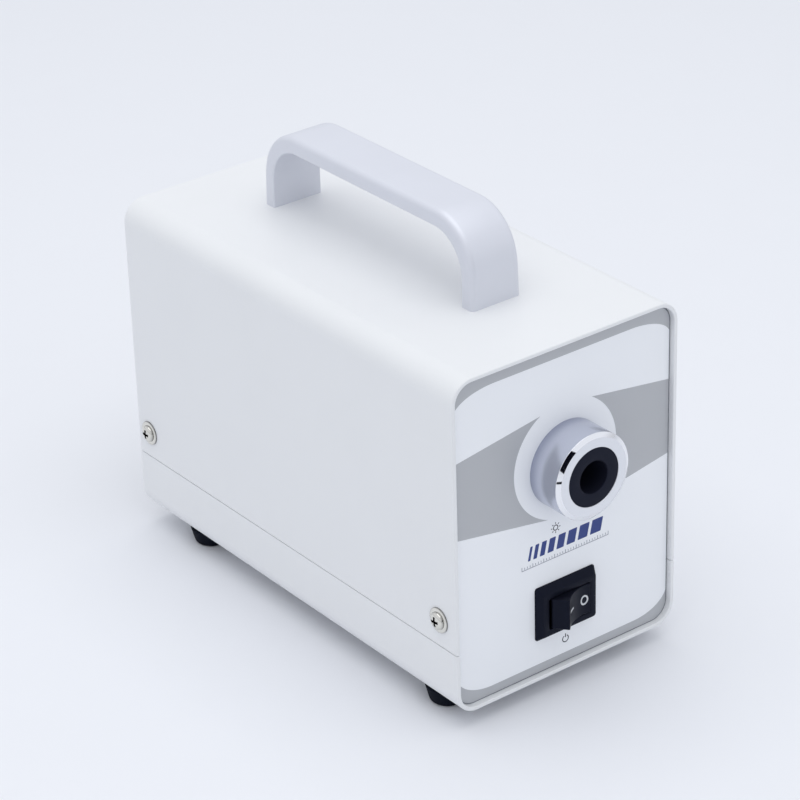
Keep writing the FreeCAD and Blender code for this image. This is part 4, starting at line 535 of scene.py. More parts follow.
collar_outline = rounded([
    (bore, front, 0.2), (COLLAR_RADIUS - COLLAR_CHAMFER[0], front, 0.1),
    (COLLAR_RADIUS, front + COLLAR_CHAMFER[1], 0.15), (COLLAR_RADIUS, face_y), (NECK_RADIUS, face_y),
    (NECK_RADIUS, back), (bore, back)], 4)
collar = turned(collar_outline, PORT.x, PORT.z, PORT_STEPS)
seated("collar", creased(mesh_of(collar)), "collar_metal", ["port_collar"])

insert_outline = rounded([
    (GUIDE_RADIUS, insert_low.y, 0.3), (INSERT_RADIUS, insert_low.y, 0.3), (INSERT_RADIUS, back),
    (STOP_RADIUS, back), (STOP_RADIUS, stop_y), (GUIDE_RADIUS, stop_y)], 5)
sleeve = turned(insert_outline, PORT.x, PORT.z, PORT_STEPS)
seated("guide_sleeve", creased(mesh_of(sleeve)), "insert_black", ["port_insert"])

# %% [markdown]
# ## The power switch
#
# The bezel is a moulded frame with leaning sides and a well for the rocker. A bevelled box comes
# near it, but has one radius all over. So the bezel is a stack of rounded rectangles skinned into
# one shell: up the leaning sides, over the flat, through the mouth and into the wider well. Each
# row names a size, how far it is drawn in, its corner radius and its place along Y.

# %% Bezel and well
housing_low, housing_high = extent("switch_housing")
SWITCH = Vector((0, 0, (housing_low.z + housing_high.z) / 2))
BEZEL = (housing_high.x - housing_low.x, housing_high.z - housing_low.z)
RISE, FOOT, LEAN = 3.6, 0.4, (1.7, 2.4)
MOUTH, MOUTH_DEPTH = (21.8, 14.4), 1.6
WELL_ROOM, WELL_DEPTH, WALL = 0.5, 13, 1.8
BODY_CORNER, BEZEL_CORNER, MOUTH_CORNER = 1.0, 1.2, 0.8
well_size = (MOUTH[0] + 2 * WELL_ROOM, MOUTH[1])
body_size = (well_size[0] + 2 * WALL, well_size[1] + 2 * WALL)
flat_size = (BEZEL[0] - 2 * LEAN[0], BEZEL[1] - 2 * LEAN[1])
top_y = face_y - RISE
BEZEL_STACK = (
    (body_size, 0, BODY_CORNER, housing_high.y), (body_size, 0, BODY_CORNER, face_y),
    (BEZEL, 0, BEZEL_CORNER, face_y), (BEZEL, 0, BEZEL_CORNER, face_y - FOOT),
    (flat_size, -0.15, 1.3, top_y + 0.32), (flat_size, 0.05, 1.2, top_y + 0.08),
    (flat_size, 0.4, 1.0, top_y), (MOUTH, -0.25, 1.0, top_y),
    (MOUTH, -0.07, 0.9, top_y + 0.07), (MOUTH, 0, MOUTH_CORNER, top_y + 0.25),
    (MOUTH, 0, MOUTH_CORNER, top_y + MOUTH_DEPTH), (well_size, 0, MOUTH_CORNER, top_y + MOUTH_DEPTH),
    (well_size, 0, MOUTH_CORNER, face_y + WELL_DEPTH))


def switch_loop(size, shrink, radius, y):
    """Loop of a rounded rectangle, drawn in on all sides, at a place along Y."""
    outline = box_outline(SWITCH.x, SWITCH.z, size[0] - 2 * shrink, size[1] - 2 * shrink, radius, 5)
    return [(u, y, v) for u, v in outline]


shell = skinned([switch_loop(*row) for row in BEZEL_STACK])
seated("switch_bezel", creased(mesh_of(shell), 28), "switch_black", ["switch_housing"])

# %% [markdown]
# The rocker's two signs are a ring and a bar, printed along its hollow face. They are built flat,
# and then every point is bent onto that face: its reach along the wings gives its height on the
# hollow's arc, and the tilt of the rocker turns it about the pins.

# %% Signs on the rocker
PIVOT = joint_place("power_rocker")
TILT = math.radians(19)
TIP_RISE, DISH, DISH_HALF = 8.6, 2.0, 7.9
DISH_RADIUS = (DISH_HALF ** 2 + DISH ** 2) / (2 * DISH)
SIGN_PRINT = 0.04
OFF_RING, OFF_REACH = (2.3, 1.5), 5.2
ON_BAR, ON_REACH = (4.0, 0.8), -4.0

sign_white = Finish("sign_white_finish", ink(205, 208, 212), 0.5)
sign_white.weather(0.2, 0.002, tint=0.06)


def onto_rocker(bm, reach):
    """Bends a flat print onto the hollow face of the tipped rocker, centred at a reach along it."""
    tilt = Matrix.Rotation(TILT, 3, "Z")
    for vert in bm.verts:
        along, up, out = vert.co
        along += reach
        rise = TIP_RISE - DISH + DISH_RADIUS - math.sqrt(DISH_RADIUS ** 2 - along ** 2)
        vert.co = PIVOT + tilt @ Vector((along, -rise - out, up))
    return bm


def flat_ring(outer, inner, steps=40, start=0.0, end=1.0):
    """Flat ring, or a part of one, as a thin print."""
    outline = [(inner, 0), (outer, 0), (outer, SIGN_PRINT), (inner, SIGN_PRINT)]
    share = [start + (end - start) * k / steps for k in range(steps + (end - start < 1))]
    loops = [[(r * math.cos(2 * math.pi * s), r * math.sin(2 * math.pi * s), h) for r, h in outline]
             for s in share]
    return skinned(loops, ring=end - start == 1)


def flat_bar(u, v, width, height, turn=0.0):
    """Thin printed bar about (u, v), turned in its plane."""
    loops = [[Matrix.Rotation(turn, 3, "Z") @ Vector((u + a * width / 2, v + b * height / 2, h))
              for a, b in QUARTERS] for h in (0, SIGN_PRINT)]
    return skinned(loops)


def flat_strip(length, height, steps=12):
    """Bar in short lengths, so that it can be bent."""
    half = height / 2
    section = [(-half, 0), (half, 0), (half, SIGN_PRINT), (-half, SIGN_PRINT)]
    return skinned([[(length * (k / steps - 0.5), v, h) for v, h in section] for k in range(steps + 1)])


def laid(bm, matrix):
    """The same bmesh, moved by a matrix."""
    bm.transform(matrix)
    return bm


RING_SQUEEZE = Matrix.Diagonal((0.85, 1, 1, 1))
sign_off = onto_rocker(laid(flat_ring(*OFF_RING), RING_SQUEEZE), OFF_REACH)
sign_on = onto_rocker(flat_strip(*ON_BAR), ON_REACH)
signs = together([sign_off, sign_on])
seated("rocker_signs", creased(mesh_of(signs)), "switch_black", (), "rocker", sign_white)

# %% [markdown]
# ## The carrying handle
#
# A flat bar bent down into two legs. Its outer path and its inner path have different bends, so
# the bar swells a little in the corners, which a curve with a fixed profile can't do. Both paths
# get equally many stations, and at each one a rounded rectangle is spanned between them. The
# soft upper corners run out towards the feet.

# %% Handle
handle_low, handle_high = extent("carry_handle")
BAR, LEG = 7.4, 6.8
OUTER_BEND, INNER_BEND = 23.0, 17.0
SOFT_EDGE, FOOT_SOFT_EDGE, TIGHT_EDGE = 3.0, 1.9, 0.8
CLIMB_START, CLIMB_REACH = 3, 14
FOOT_STATION = 0.5
ARC_STEPS, BAR_STEPS, EDGE_STEPS = 18, 10, 9


def handle_path(inset_leg, inset_bar, bend):
    """Stations along one side of the bar, in Y and Z."""
    y_low, y_high = handle_low.y + inset_leg, handle_high.y - inset_leg
    top = handle_high.z - inset_bar
    corner = top - bend
    path = [(y_low, handle_low.z), (y_low, handle_low.z + FOOT_STATION),
            (y_low, (handle_low.z + corner) / 2)]
    for k in range(ARC_STEPS + 1):
        turn = math.pi / 2 * k / ARC_STEPS
        path.append((y_low + bend - bend * math.cos(turn), corner + bend * math.sin(turn)))
    for k in range(1, BAR_STEPS):
        path.append((y_low + bend + (y_high - y_low - 2 * bend) * k / BAR_STEPS, top))
    middle = y_low + y_high
    return path + [(middle - y, z) for y, z in path[ARC_STEPS + 3::-1]]


def handle_loop(outside, inside):
    """Rounded rectangle spanned between an outer and an inner station."""
    outside, inside = Vector(outside), Vector(inside)
    thick = (outside - inside).length
    climb = min(1.0, max(0.0, (outside.y - handle_low.z - CLIMB_START) / CLIMB_REACH))
    soft = FOOT_SOFT_EDGE + (SOFT_EDGE - FOOT_SOFT_EDGE) * climb
    half = handle_high.x
    section = rounded([(-half, 0, TIGHT_EDGE), (half, 0, TIGHT_EDGE),
                       (half, thick, soft), (-half, thick, soft)], EDGE_STEPS)
    step = (outside - inside).normalized()
    return [(u, inside.x + step.x * v, inside.y + step.y * v) for u, v in section]


outer_path = handle_path(0, 0, OUTER_BEND)
inner_path = handle_path(LEG, BAR, INNER_BEND)
handle = skinned([handle_loop(a, b) for a, b in zip(outer_path, inner_path)])
seated("handle_strap", creased(mesh_of(handle), 50), "handle_metal", ["carry_handle"])

# %% [markdown]
# ## Rubber feet
#
# Four tapered feet, turned from one outline. A bevelled cone looks the same from the side, but
# moulded rubber has no sharp edge anywhere, not even in the pocket underneath, where a screw
# sits deep inside. So every corner of the outline is round.

# %% Feet
FOOT_HOLE, FOOT_TREAD = 1.75, 7.3
POCKET_RADIUS, POCKET_DEPTH = 3.15, 3.6
FOOT_BRIM, BRIM_INSET = 0.4, 0.3
FOOT_STEPS = 64

for foot in [name for name in frame["nodes"] if name.startswith("foot_") and name != "foot_screws"]:
    low, high = extent(foot)
    top_radius = (high.x - low.x) / 2
    outline = rounded([
        (FOOT_HOLE, POCKET_DEPTH), (POCKET_RADIUS, POCKET_DEPTH, 0.2), (POCKET_RADIUS, 0, 0.3),
        (FOOT_TREAD, 0, 2.0), (top_radius, high.z - FOOT_BRIM, 0.5),
        (top_radius - BRIM_INSET, high.z), (FOOT_HOLE, high.z)], 5)
    shape = turned(outline, (low.x + high.x) / 2, (low.y + high.y) / 2, FOOT_STEPS, "Z")
    seated("rubber_" + foot, creased(mesh_of(shape)), "rubber_black", [foot])

# %% [markdown]
# ## Grown pieces
#
# Screws, wires and blades repeat, so each kind is grown by a small Geometry Nodes tree. Its sizes
# are named inputs in millimetres, and what is random has a fixed seed. The tree is evaluated once
# and a plain mesh stays. Every grown piece is built along Z and planted where its axis points.

# %% Growing and planting
TURN_SEED = 5


def grown(name, slot, build, seats, **sizes):
    """Mesh of a geometry tree whose points are the seats, pairs of a place and its outward axis."""
    group = bpy.data.node_groups.new(name, "GeometryNodeTree")
    group.interface.new_socket("Grown", in_out="OUTPUT", socket_type="NodeSocketGeometry")
    group.interface.new_socket("Points", in_out="INPUT", socket_type="NodeSocketGeometry")
    inputs = {key: group.interface.new_socket(key, in_out="INPUT", socket_type="NodeSocketFloat")
              for key in sizes}
    tree = Tree(group)
    entry = group.nodes.new("NodeGroupInput")
    shape = build(tree, **{key: Signal(tree, entry.outputs[key]) for key in sizes})
    axis = tree.add("GeometryNodeInputNamedAttribute", {"data_type": "FLOAT_VECTOR"},
                    {"Name": "outwards"})
    facing = tree.add("FunctionNodeAlignRotationToVector", {"axis": "Z"}, {"Vector": axis})
    planted = tree.add("GeometryNodeInstanceOnPoints", values={
        "Points": Signal(tree, entry.outputs["Points"]), "Instance": shape, "Rotation": facing})
    widest_turn = 2 * math.pi if len(seats) > 1 else 0.0
    any_turn = tree.add("FunctionNodeRandomValue", values={
        2: 0.0, 3: widest_turn, "Seed": TURN_SEED}, output=1)
    spin = tree.add("ShaderNodeCombineXYZ", values={"Z": any_turn})
    spun = tree.add("GeometryNodeRotateInstances", values={"Instances": planted, "Rotation": spin})
    solid = tree.add("GeometryNodeRealizeInstances", values={0: spun})
    coated = tree.add("GeometryNodeSetMaterial", values={
        "Geometry": solid, "Material": finishes[slot].material})
    group.links.new(coated.socket, group.nodes.new("NodeGroupOutput").inputs[0])

    points = bpy.data.meshes.new(name)
    points.from_pydata([seat for seat, _ in seats], [], [])
    outwards = points.attributes.new("outwards", "FLOAT_VECTOR", "POINT")
    outwards.data.foreach_set("vector", [part for _, direction in seats for part in direction])
    host = bpy.data.objects.new(name, points)
    modifier = host.modifiers.new("grow", "NODES")
    modifier.node_group = group
    for key, value in sizes.items():
        modifier[inputs[key].identifier] = float(value)
    bm = bmesh.new()
    bm.from_mesh(evaluated(host))
    return creased(mesh_of(bm))


# %% [markdown]
# The trees share a few shapes. The round button is a flat grid that two rules bend: once round
# in X, and in Y from the middle of the underside, over the rim, up to the top. Half a UV sphere
# would be open underneath, and rounder than the head of a screw. The button also stores how near
# its rim a point lies, as the mask for the painted shade at its foot.

# %% Shapes inside a tree
def marked(tree, shape, depth):
    """Stores how deep in a corner the surface lies, from 0 to 1, as a mask for painted shade."""
    return tree.add("GeometryNodeStoreNamedAttribute", {"data_type": "FLOAT", "domain": "POINT"},
                    {"Geometry": shape, "Name": SHADE_MASK_NAME, "Value": depth})


def position(tree):
    """The three parts of the position as signals."""
    here = tree.add("GeometryNodeInputPosition")
    return [tree.add("ShaderNodeSeparateXYZ", values={"Vector": here}, output=axis) for axis in "XYZ"]


def domed(tree, radius, rise, base=0.0, power=2.6, sides=48, rows=16):
    """Closed round button: a flat underside at the base and a superellipse over it.

    It is a grid that goes once round in X, and in Y first over the underside, then up the dome.
    """
    sheet = tree.add("GeometryNodeMeshGrid", values={
        "Size X": 1.0, "Size Y": 2.0, "Vertices X": sides + 1, "Vertices Y": rows + 1})
    around, row = position(tree)[:2]
    turn = around * (2 * math.pi)
    climb = row.maths("MAXIMUM", row, 0.0) * (math.pi / 2)
    spread = (row.maths("MINIMUM", row, 0.0) + 1) * climb.maths("COSINE", climb) ** (2 / power) * radius
    up = climb.maths("SINE", climb) ** (2 / power) * rise + base
    place = tree.add("ShaderNodeCombineXYZ", values={
        "X": spread * turn.maths("COSINE", turn), "Y": spread * turn.maths("SINE", turn), "Z": up})
    # Painted-shade mask: 1 at the foot of the button, fading to 0 over its dome.
    low = (1 - climb.maths("SINE", climb)) ** 3
    button = tree.add("GeometryNodeSetPosition", values={
        "Geometry": marked(tree, sheet, low), "Position": place})
    return tree.add("GeometryNodeMergeByDistance", values={"Geometry": button, "Distance": MERGE})


def moved(tree, shape, shift=(0, 0, 0), turn=(0, 0, 0)):
    """Shape shifted and turned as a whole."""
    return tree.add("GeometryNodeTransform", values={
        "Geometry": shape, "Translation": shift, "Rotation": turn})


def upright(tree, radius, length, top=0.0, sides=32):
    """Cylinder that hangs down from its top."""
    rod = tree.add("GeometryNodeMeshCylinder", values={
        "Vertices": sides, "Radius": radius, "Depth": length})
    drop = tree.add("ShaderNodeCombineXYZ", values={"Z": top - length * 0.5})
    return moved(tree, rod, drop)


# %% [markdown]
# A pan-head screw is a superellipse turned about its axis, with a cross sunk into it by a
# Boolean, which leaves the recess as crisp as a punch does. The case screws have a washer formed
# on. There are no threads, because each of them is out of sight in its hole.

# %% Screw heads and shanks
CROSS_ARM, CROSS_ZONE = 0.55, 1.2
SHANK_SINK = 0.1
WASHER_POWER = 6.0


def crossed_head(tree, head, rise, base, cross, depth):
    """Domed head with a cross recess, marked for painted shade towards the recess's floor."""
    dome = domed(tree, head, rise - base, base)
    bar = tree.add("ShaderNodeCombineXYZ", values={
        "X": cross * 2, "Y": cross * CROSS_ARM, "Z": depth * 2})
    blade = tree.add("GeometryNodeMeshCube", values={"Size": bar})
    up = tree.add("ShaderNodeCombineXYZ", values={"Z": rise})
    blades = [moved(tree, blade, up, (0, 0, angle)) for angle in (0, math.pi / 2)]
    cut = tree.add("GeometryNodeMeshBoolean", {"operation": "DIFFERENCE", "solver": "EXACT"},
                   {"Mesh 1": dome, "Mesh 2": blades})
    # Painted-shade mask in the recess: deeper points inside the cross are darker, and the foot of the
    # dome keeps its own mask.
    x, y, z = position(tree)
    inside = cross.maths("LESS_THAN", x * x + y * y, cross * cross * CROSS_ZONE)
    sunk = (rise - z) / depth * inside
    corner = tree.add("GeometryNodeInputNamedAttribute", {"data_type": "FLOAT"}, {"Name": SHADE_MASK_NAME})
    return marked(tree, cut, sunk.maths("MAXIMUM", sunk, corner))


def pan_screw(tree, head, rise, shank, length, cross, depth):
    """Screw with a plain domed head."""
    parts = [crossed_head(tree, head, rise, 0.0, cross, depth), upright(tree, shank, length, SHANK_SINK)]
    return tree.add("GeometryNodeJoinGeometry", values={0: parts})


def washer_screw(tree, head, rise, shank, length, cross, depth, washer, thickness):
    """Screw whose head stands on a washer formed in one with it."""
    parts = [crossed_head(tree, head, rise, thickness * 0.5, cross, depth),
             domed(tree, washer, thickness, 0.0, WASHER_POWER), upright(tree, shank, length, SHANK_SINK)]
    return tree.add("GeometryNodeJoinGeometry", values={0: parts})


# %% [markdown]
# Each screw stands for one that the CAD model has in its place, and those are read off as the
# loose solids of a node. Sorted by their corners, they come in the same order in every run. No
# two screws stop at the same angle, so each takes its own turn from the seed.

# %% Screws on their seats
CASE_MIDDLE = (extent("top_cover")[1] + extent("bottom_tray")[0]) / 2


def solids(node):
    """Corners, in millimetres, of the box round each loose solid of a CAD node."""
    bm = bmesh.new()
    bm.from_mesh(frame["nodes"][node].data)
    bmesh.ops.remove_doubles(bm, verts=bm.verts, dist=MERGE * MM)
    left = set(bm.verts)
    while left:
        reached, front = set(), {left.pop()}
        while front:
            reached |= front
            front = {edge.other_vert(vert) for vert in front for edge in vert.link_edges} - reached
        left -= reached
        spots = [vert.co / MM for vert in reached]
        yield tuple(Vector(pick(spot[i] for spot in spots) for i in range(3)) for pick in (min, max))
    bm.free()


def screws(node, axis, build, **sizes):
    """Grows the screws of a CAD node on their seats, heads away from the middle of the case."""
    boxes = sorted(solids(node), key=lambda box: tuple(box[0]))
    whole = max(abs((high - low).dot(axis)) for low, high in boxes)
    seats = []
    for low, high in boxes:
        middle = (low + high) / 2
        outward = Vector(axis) * math.copysign(1, (middle - CASE_MIDDLE).dot(axis))
        seats.append((middle + outward * (whole / 2 - sizes["rise"]), outward))
    mesh = grown(node, "screw_steel", build, seats, length=whole - sizes["rise"], **sizes)
    seated("grown_" + node, mesh, "screw_steel", [node])


M3_PAN = {"head": 2.9, "rise": 2.0, "shank": 1.5, "cross": 1.3, "depth": 1.0}
M4_PAN = {"head": 4.5, "rise": 2.6, "shank": 2.0, "cross": 2.0, "depth": 1.3}
screws("side_screws", (1, 0, 0), washer_screw, head=3.9, rise=2.6, shank=2.0, cross=2.1, depth=1.6,
       washer=5.5, thickness=0.8)
screws("fan_screws", (0, 1, 0), pan_screw, **M4_PAN)
screws("inlet_screws", (0, 1, 0), pan_screw, **M3_PAN)
screws("tray_screws", (0, 0, 1), pan_screw, **M3_PAN)
screws("foot_screws", (0, 0, 1), pan_screw, **M3_PAN)

# %% [markdown]
# The fan guard is welded from wire: two crossed spokes under five rings that step outwards
# evenly. Tori and rods could be laid there by hand, but curves that carry a round profile keep
# to one rule, and a ring more is a change of one number.

# %% Fan guard
FAN = joint_place("fan_spin")
guard_low, guard_high = extent("fan_guard")
WIRE, EYELET, SPOKE_SHORT = 0.9, 4.5, 3
WIRE_SIDES, RING_SIDES = 14, 96
RING_STEP, RINGS, RING_LIFT = 7.0, 5, 2.6
SCREW_PITCH = (guard_high.x - guard_low.x) / 2 - EYELET
SPOKE_REACH = SCREW_PITCH * math.sqrt(2) - SPOKE_SHORT
OUTSIDE = Vector((0, 1, 0))


def wired(tree, curve, wire):
    """Round wire along a curve, with closed ends."""
    profile = tree.add("GeometryNodeCurvePrimitiveCircle", values={
        "Resolution": WIRE_SIDES, "Radius": wire})
    return tree.add("GeometryNodeCurveToMesh", values={
        "Curve": curve, "Profile Curve": profile, "Fill Caps": True})


def guard(tree, wire, step, rings, reach):
    """Rings that widen by one step each, lying on two crossed spokes."""
    row = tree.add("GeometryNodeMeshLine", {"mode": "OFFSET"}, {"Offset": (0, 0, 0), "Count": rings})
    circle = tree.add("GeometryNodeCurvePrimitiveCircle", values={
        "Resolution": RING_SIDES, "Radius": 1.0})
    number = tree.add("GeometryNodeInputIndex") + 1
    sized = tree.add("GeometryNodeInstanceOnPoints", values={
        "Points": row, "Instance": circle, "Scale": number * step})
    lifted = tree.add("ShaderNodeCombineXYZ", values={"Z": wire * RING_LIFT})
    circles = wired(tree, tree.add("GeometryNodeRealizeInstances", values={0: sized}), wire)
    start, end = (tree.add("ShaderNodeCombineXYZ", values={"X": reach * side, "Z": wire})
                  for side in (-1, 1))
    line = tree.add("GeometryNodeCurvePrimitiveLine", values={"Start": start, "End": end})
    spoke = wired(tree, line, wire)
    spokes = [moved(tree, spoke, turn=(0, 0, math.radians(angle))) for angle in (45, 135)]
    return tree.add("GeometryNodeJoinGeometry", values={0: [moved(tree, circles, lifted)] + spokes})


def eyelet(tree, eye, height):
    """Flattened end of a spoke under its screw."""
    return domed(tree, eye, height, 0.0, WASHER_POWER)


wires = grown("fan_guard", "guard_chrome", guard, [(Vector((FAN.x, guard_low.y, FAN.z)), OUTSIDE)],
              wire=WIRE, step=RING_STEP, rings=RINGS, reach=SPOKE_REACH)
corners = [(Vector((FAN.x + a * SCREW_PITCH, guard_low.y, FAN.z + b * SCREW_PITCH)), OUTSIDE)
           for a in (-1, 1) for b in (-1, 1)]
eyelets = grown("guard_eyelets", "guard_chrome", eyelet, corners, eye=EYELET, height=2 * WIRE)
bm = bmesh.new()
for mesh in (wires, eyelets):
    bm.from_mesh(mesh)
seated("wire_guard", creased(mesh_of(bm, 1.0)), "guard_chrome", ["fan_guard"])

# %% [markdown]
# The rotor's seven blades are moulded in one with a drum of a hub. A blade is a flat grid whose
# chord and angle change from hub to tip. It is thickened and set round the hub seven times. An
# Array modifier could set it round as well, but the rule that twists the blade needs the tree.

# %% Rotor
HUB, HUB_LENGTH, HUB_POWER, HUB_SIDES = 17.0, 20.0, 14.0, 64
BLADES, BLADE_TIP, BLADE_ROOT_SINK, BLADE_GRID = 7, 36.8, 0.7, (14, 10)


def rotor(tree, hub, length, tip, root_chord, tip_chord, root_angle, tip_angle, sheet, blades):
    """Blades whose chord and angle, in degrees, change from root to tip, round a drum of a hub."""
    flat = tree.add("GeometryNodeMeshGrid", values={
        "Size X": 1.0, "Size Y": 1.0, "Vertices X": BLADE_GRID[0], "Vertices Y": BLADE_GRID[1]})
    start, across = position(tree)[:2]
    out = start + 0.5
    chord = root_chord + (tip_chord - root_chord) * out
    lean = (root_angle + (tip_angle - root_angle) * out - 90) * (math.pi / 180)
    run = chord * across
    place = tree.add("ShaderNodeCombineXYZ", values={
        "X": hub - BLADE_ROOT_SINK + (tip - hub + BLADE_ROOT_SINK) * out,
        "Y": 0 - run * lean.maths("COSINE", lean),
        "Z": 0 - run * lean.maths("SINE", lean) - length * 0.5})
    blade = tree.add("GeometryNodeSetPosition", values={"Geometry": flat, "Position": place})
    thick = tree.add("GeometryNodeExtrudeMesh", {"mode": "FACES"},
                     {"Mesh": blade, "Offset Scale": sheet, "Individual": False})
    back = tree.add("GeometryNodeFlipFaces", values={"Mesh": blade})
    whole = tree.add("GeometryNodeJoinGeometry", values={0: [thick, back]})
    row = tree.add("GeometryNodeMeshLine", {"mode": "OFFSET"}, {"Offset": (0, 0, 0), "Count": blades})
    share = tree.add("GeometryNodeInputIndex") * (2 * math.pi) / blades
    turn = tree.add("ShaderNodeCombineXYZ", values={"Z": share})
    fan = tree.add("GeometryNodeInstanceOnPoints", values={
        "Points": row, "Instance": whole, "Rotation": turn})
    cap = domed(tree, hub, length, 0 - length, HUB_POWER, HUB_SIDES)
    return tree.add("GeometryNodeJoinGeometry", values={0: [fan, cap]})


hub_top = Vector((FAN.x, extent("fan_rotor")[0].y + HUB_LENGTH, FAN.z))
fan = grown("fan_rotor", "fan_black", rotor, [(hub_top, OUTSIDE)], hub=HUB, length=HUB_LENGTH,
            tip=BLADE_TIP, root_chord=14, tip_chord=17, root_angle=42, tip_angle=62, sheet=1.4,
            blades=BLADES)
seated("bladed_rotor", fan, "fan_black", ["fan_rotor"], "rotor")

# %% [markdown]
# The brightness knob is moulded with twelve shallow flutes for the fingers. Twelve Booleans
# would cut them, with a hard rim that no mould leaves. So the knob is skinned from rings that
# share one rule: a radius for the height, less a scallop that repeats twelve times. Its pointer
# is a groove filled with white paint, flush with the top.

# %% Knob and pointer
knob_low, knob_high = extent("intensity_knob")
KNOB = Vector(((knob_low.x + knob_high.x) / 2, knob_low.y, (knob_low.z + knob_high.z) / 2))
KNOB_LENGTH = knob_high.y - knob_low.y
FLUTES, FLUTE_DEPTH, FLUTE_WIDTH, KNOB_STEPS = 12, 0.65, 0.3, 12
REST_TURN = math.radians(150)
POINTER_HALF, POINTER_DEPTH, POINTER_SPAN = 0.45, 0.5, (2.2, 8.2)
PAINT = 0.03
KNOB_RINGS = (
    (10.8, 0, 0), (11, 0.2, 0), (11, 2.8, 0), (10.85, 3.05, 0), (9.9, 4.1, 0), (9.8, 4.25, 0),
    (9.8, 4.4, 0.6), (9.75, 4.9, 1), (9.25, KNOB_LENGTH - 1.0, 1),
    (8.95, KNOB_LENGTH - 0.35, 0.8), (8.3, KNOB_LENGTH - PAINT, 0.2))


def knob_ring(radius, along, depth):
    """Loop of the knob: a circle with scallops of a share of the full depth."""
    loop = []
    for k in range(FLUTES * KNOB_STEPS):
        turn = 2 * math.pi * k / (FLUTES * KNOB_STEPS) + REST_TURN
        offset = (k / KNOB_STEPS + 0.5) % 1 - 0.5
        dip = max(0.0, 1 - (abs(offset) / FLUTE_WIDTH) ** 2) * FLUTE_DEPTH * depth
        reach = radius - dip
        loop.append((KNOB.x + reach * math.sin(turn), KNOB.y + along, KNOB.z + reach * math.cos(turn)))
    return loop


knob = skinned([knob_ring(*ring) for ring in KNOB_RINGS])
seated("fluted_knob", creased(mesh_of(knob), 30), "switch_black", ["intensity_knob"], "knob")
section = [(POINTER_HALF * a, KNOB_LENGTH - POINTER_DEPTH * b)
           for a, b in ((-1, 1), (1, 1), (1, 0), (-1, 0))]
pointer = skinned([[(u, v, r) for u, v in section] for r in POINTER_SPAN])
laid(pointer, Matrix.Translation(KNOB) @ Matrix.Rotation(REST_TURN, 4, "Y"))
seated("knob_pointer", creased(mesh_of(pointer)), "switch_black", (), "knob", sign_white)

# %% [markdown]
# ## The front print
#
# The film on the front carries screen-printed grey fields: a band to each side of the port,
# broken off by a white ring, and a border that sweeps into the corners above and below. A
# texture could carry them, but would blur close by. So each field is an outline with real arcs,
# printed a few hundredths of a millimetre proud. Where the film ends, a thin dark ring is printed
# round it: painted shade standing for the gap to the wall, which no light reaches.

# %% Grey fields
film_low, film_high = extent("front_overlay")
case_underside = extent("bottom_tray")[0].z
PRINT, PRINT_ROOT = 0.03, 0.01
FILM_CORNER = 7.95
SHADOW_GAP = 0.35
HALO = (Vector((0.9, case_underside + 96.8)), 26.6)
BAND_EDGES = ((113.5, 0.148), (79.7, -0.165))
TOP_SWEEP, BOTTOM_SWEEP = (133.9, 142.7, 21.0), (16.7, 6.2, 18.0)

print_grey = Finish("print_grey_finish", ink(183, 185, 189), 0.36, 0.15).weather(0.3, 0.001, 0.04)
painted_gap_shade = Finish("print_gap_finish", ink(120, 125, 134), 0.6).weather(0.4, 0.001, 0.08)


def printed(name, bm, coat):
    """Seats a print in its own colour."""
    return seated(name, creased(mesh_of(bm)), "panel_film", coat=coat)


def field(outline):
    """Print of an outline on the film."""
    return along_y(outline, film_low.y - PRINT, film_low.y + PRINT_ROOT)


def arc(centre, radii, start, end, steps=24):
    """Points of an elliptical arc, angles in degrees."""
    turns = [math.radians(start + (end - start) * k / steps) for k in range(steps + 1)]
    return [(centre[0] + radii[0] * math.cos(turn), centre[1] + radii[1] * math.sin(turn))
            for turn in turns]


def meets_halo(start, slope):
    """Where a line that runs inwards from the film's edge first meets the white ring."""
    line = Vector(slope).normalized()
    offset = Vector(start) - HALO[0]
    along = offset.dot(line)
    return Vector(start) + line * (-along - math.sqrt(along ** 2 - offset.length_squared + HALO[1] ** 2))


def side_band(side):
    """Outline of the band on one side, -1 or 1, up to the white ring."""
    starts = [(film_high.x * side, case_underside + height) for height, _ in BAND_EDGES]
    ends = [meets_halo(start, (-side, slope)) for start, (_, slope) in zip(starts, BAND_EDGES)]
    angles = [math.degrees(math.atan2(*(end - HALO[0]).yx)) % 360 for end in ends]
    if side > 0 and angles[1] > 180:
        angles[1] -= 360
    return starts[::-1] + arc(HALO[0], (HALO[1], HALO[1]), *angles, steps=48)


def border(z_edge, tip, flat, sweep, up):
    """Field between the film's rounded edge and a line that sweeps up or down to its corners."""
    z_tip, z_flat = case_underside + tip, case_underside + flat
    half = film_high.x
    corner = (half - FILM_CORNER, z_edge - up * FILM_CORNER)
    outer = arc(corner, (FILM_CORNER, FILM_CORNER), 0, up * 90, 12)
    inner = arc((sweep - half, z_tip), (sweep, z_flat - z_tip), 180, 90, 24)
    return [point for part in (outer, inner) for point in part + [(-x, z) for x, z in part[::-1]]]


def film_edge(inset):
    """Loop round the film at a distance inside its edge."""
    width, height = film_high.x - film_low.x - 2 * inset, film_high.z - film_low.z - 2 * inset
    middle = (film_low.z + film_high.z) / 2
    return box_outline(0, middle, width, height, FILM_CORNER - inset, 12)


# Painted shade: a dark ring printed along the film's edge stands for the shadowed gap to the wall.
root_y, proud_y = film_low.y + PRINT_ROOT, film_low.y - PRINT * 1.5
gap_section = ((0, root_y), (0, proud_y), (SHADOW_GAP, proud_y), (SHADOW_GAP, root_y))
gap_loops = [[(u, y, v) for u, v in film_edge(inset)] for inset, y in gap_section]
printed("film_gap_painted_shade", skinned(gap_loops, ring=True), painted_gap_shade)

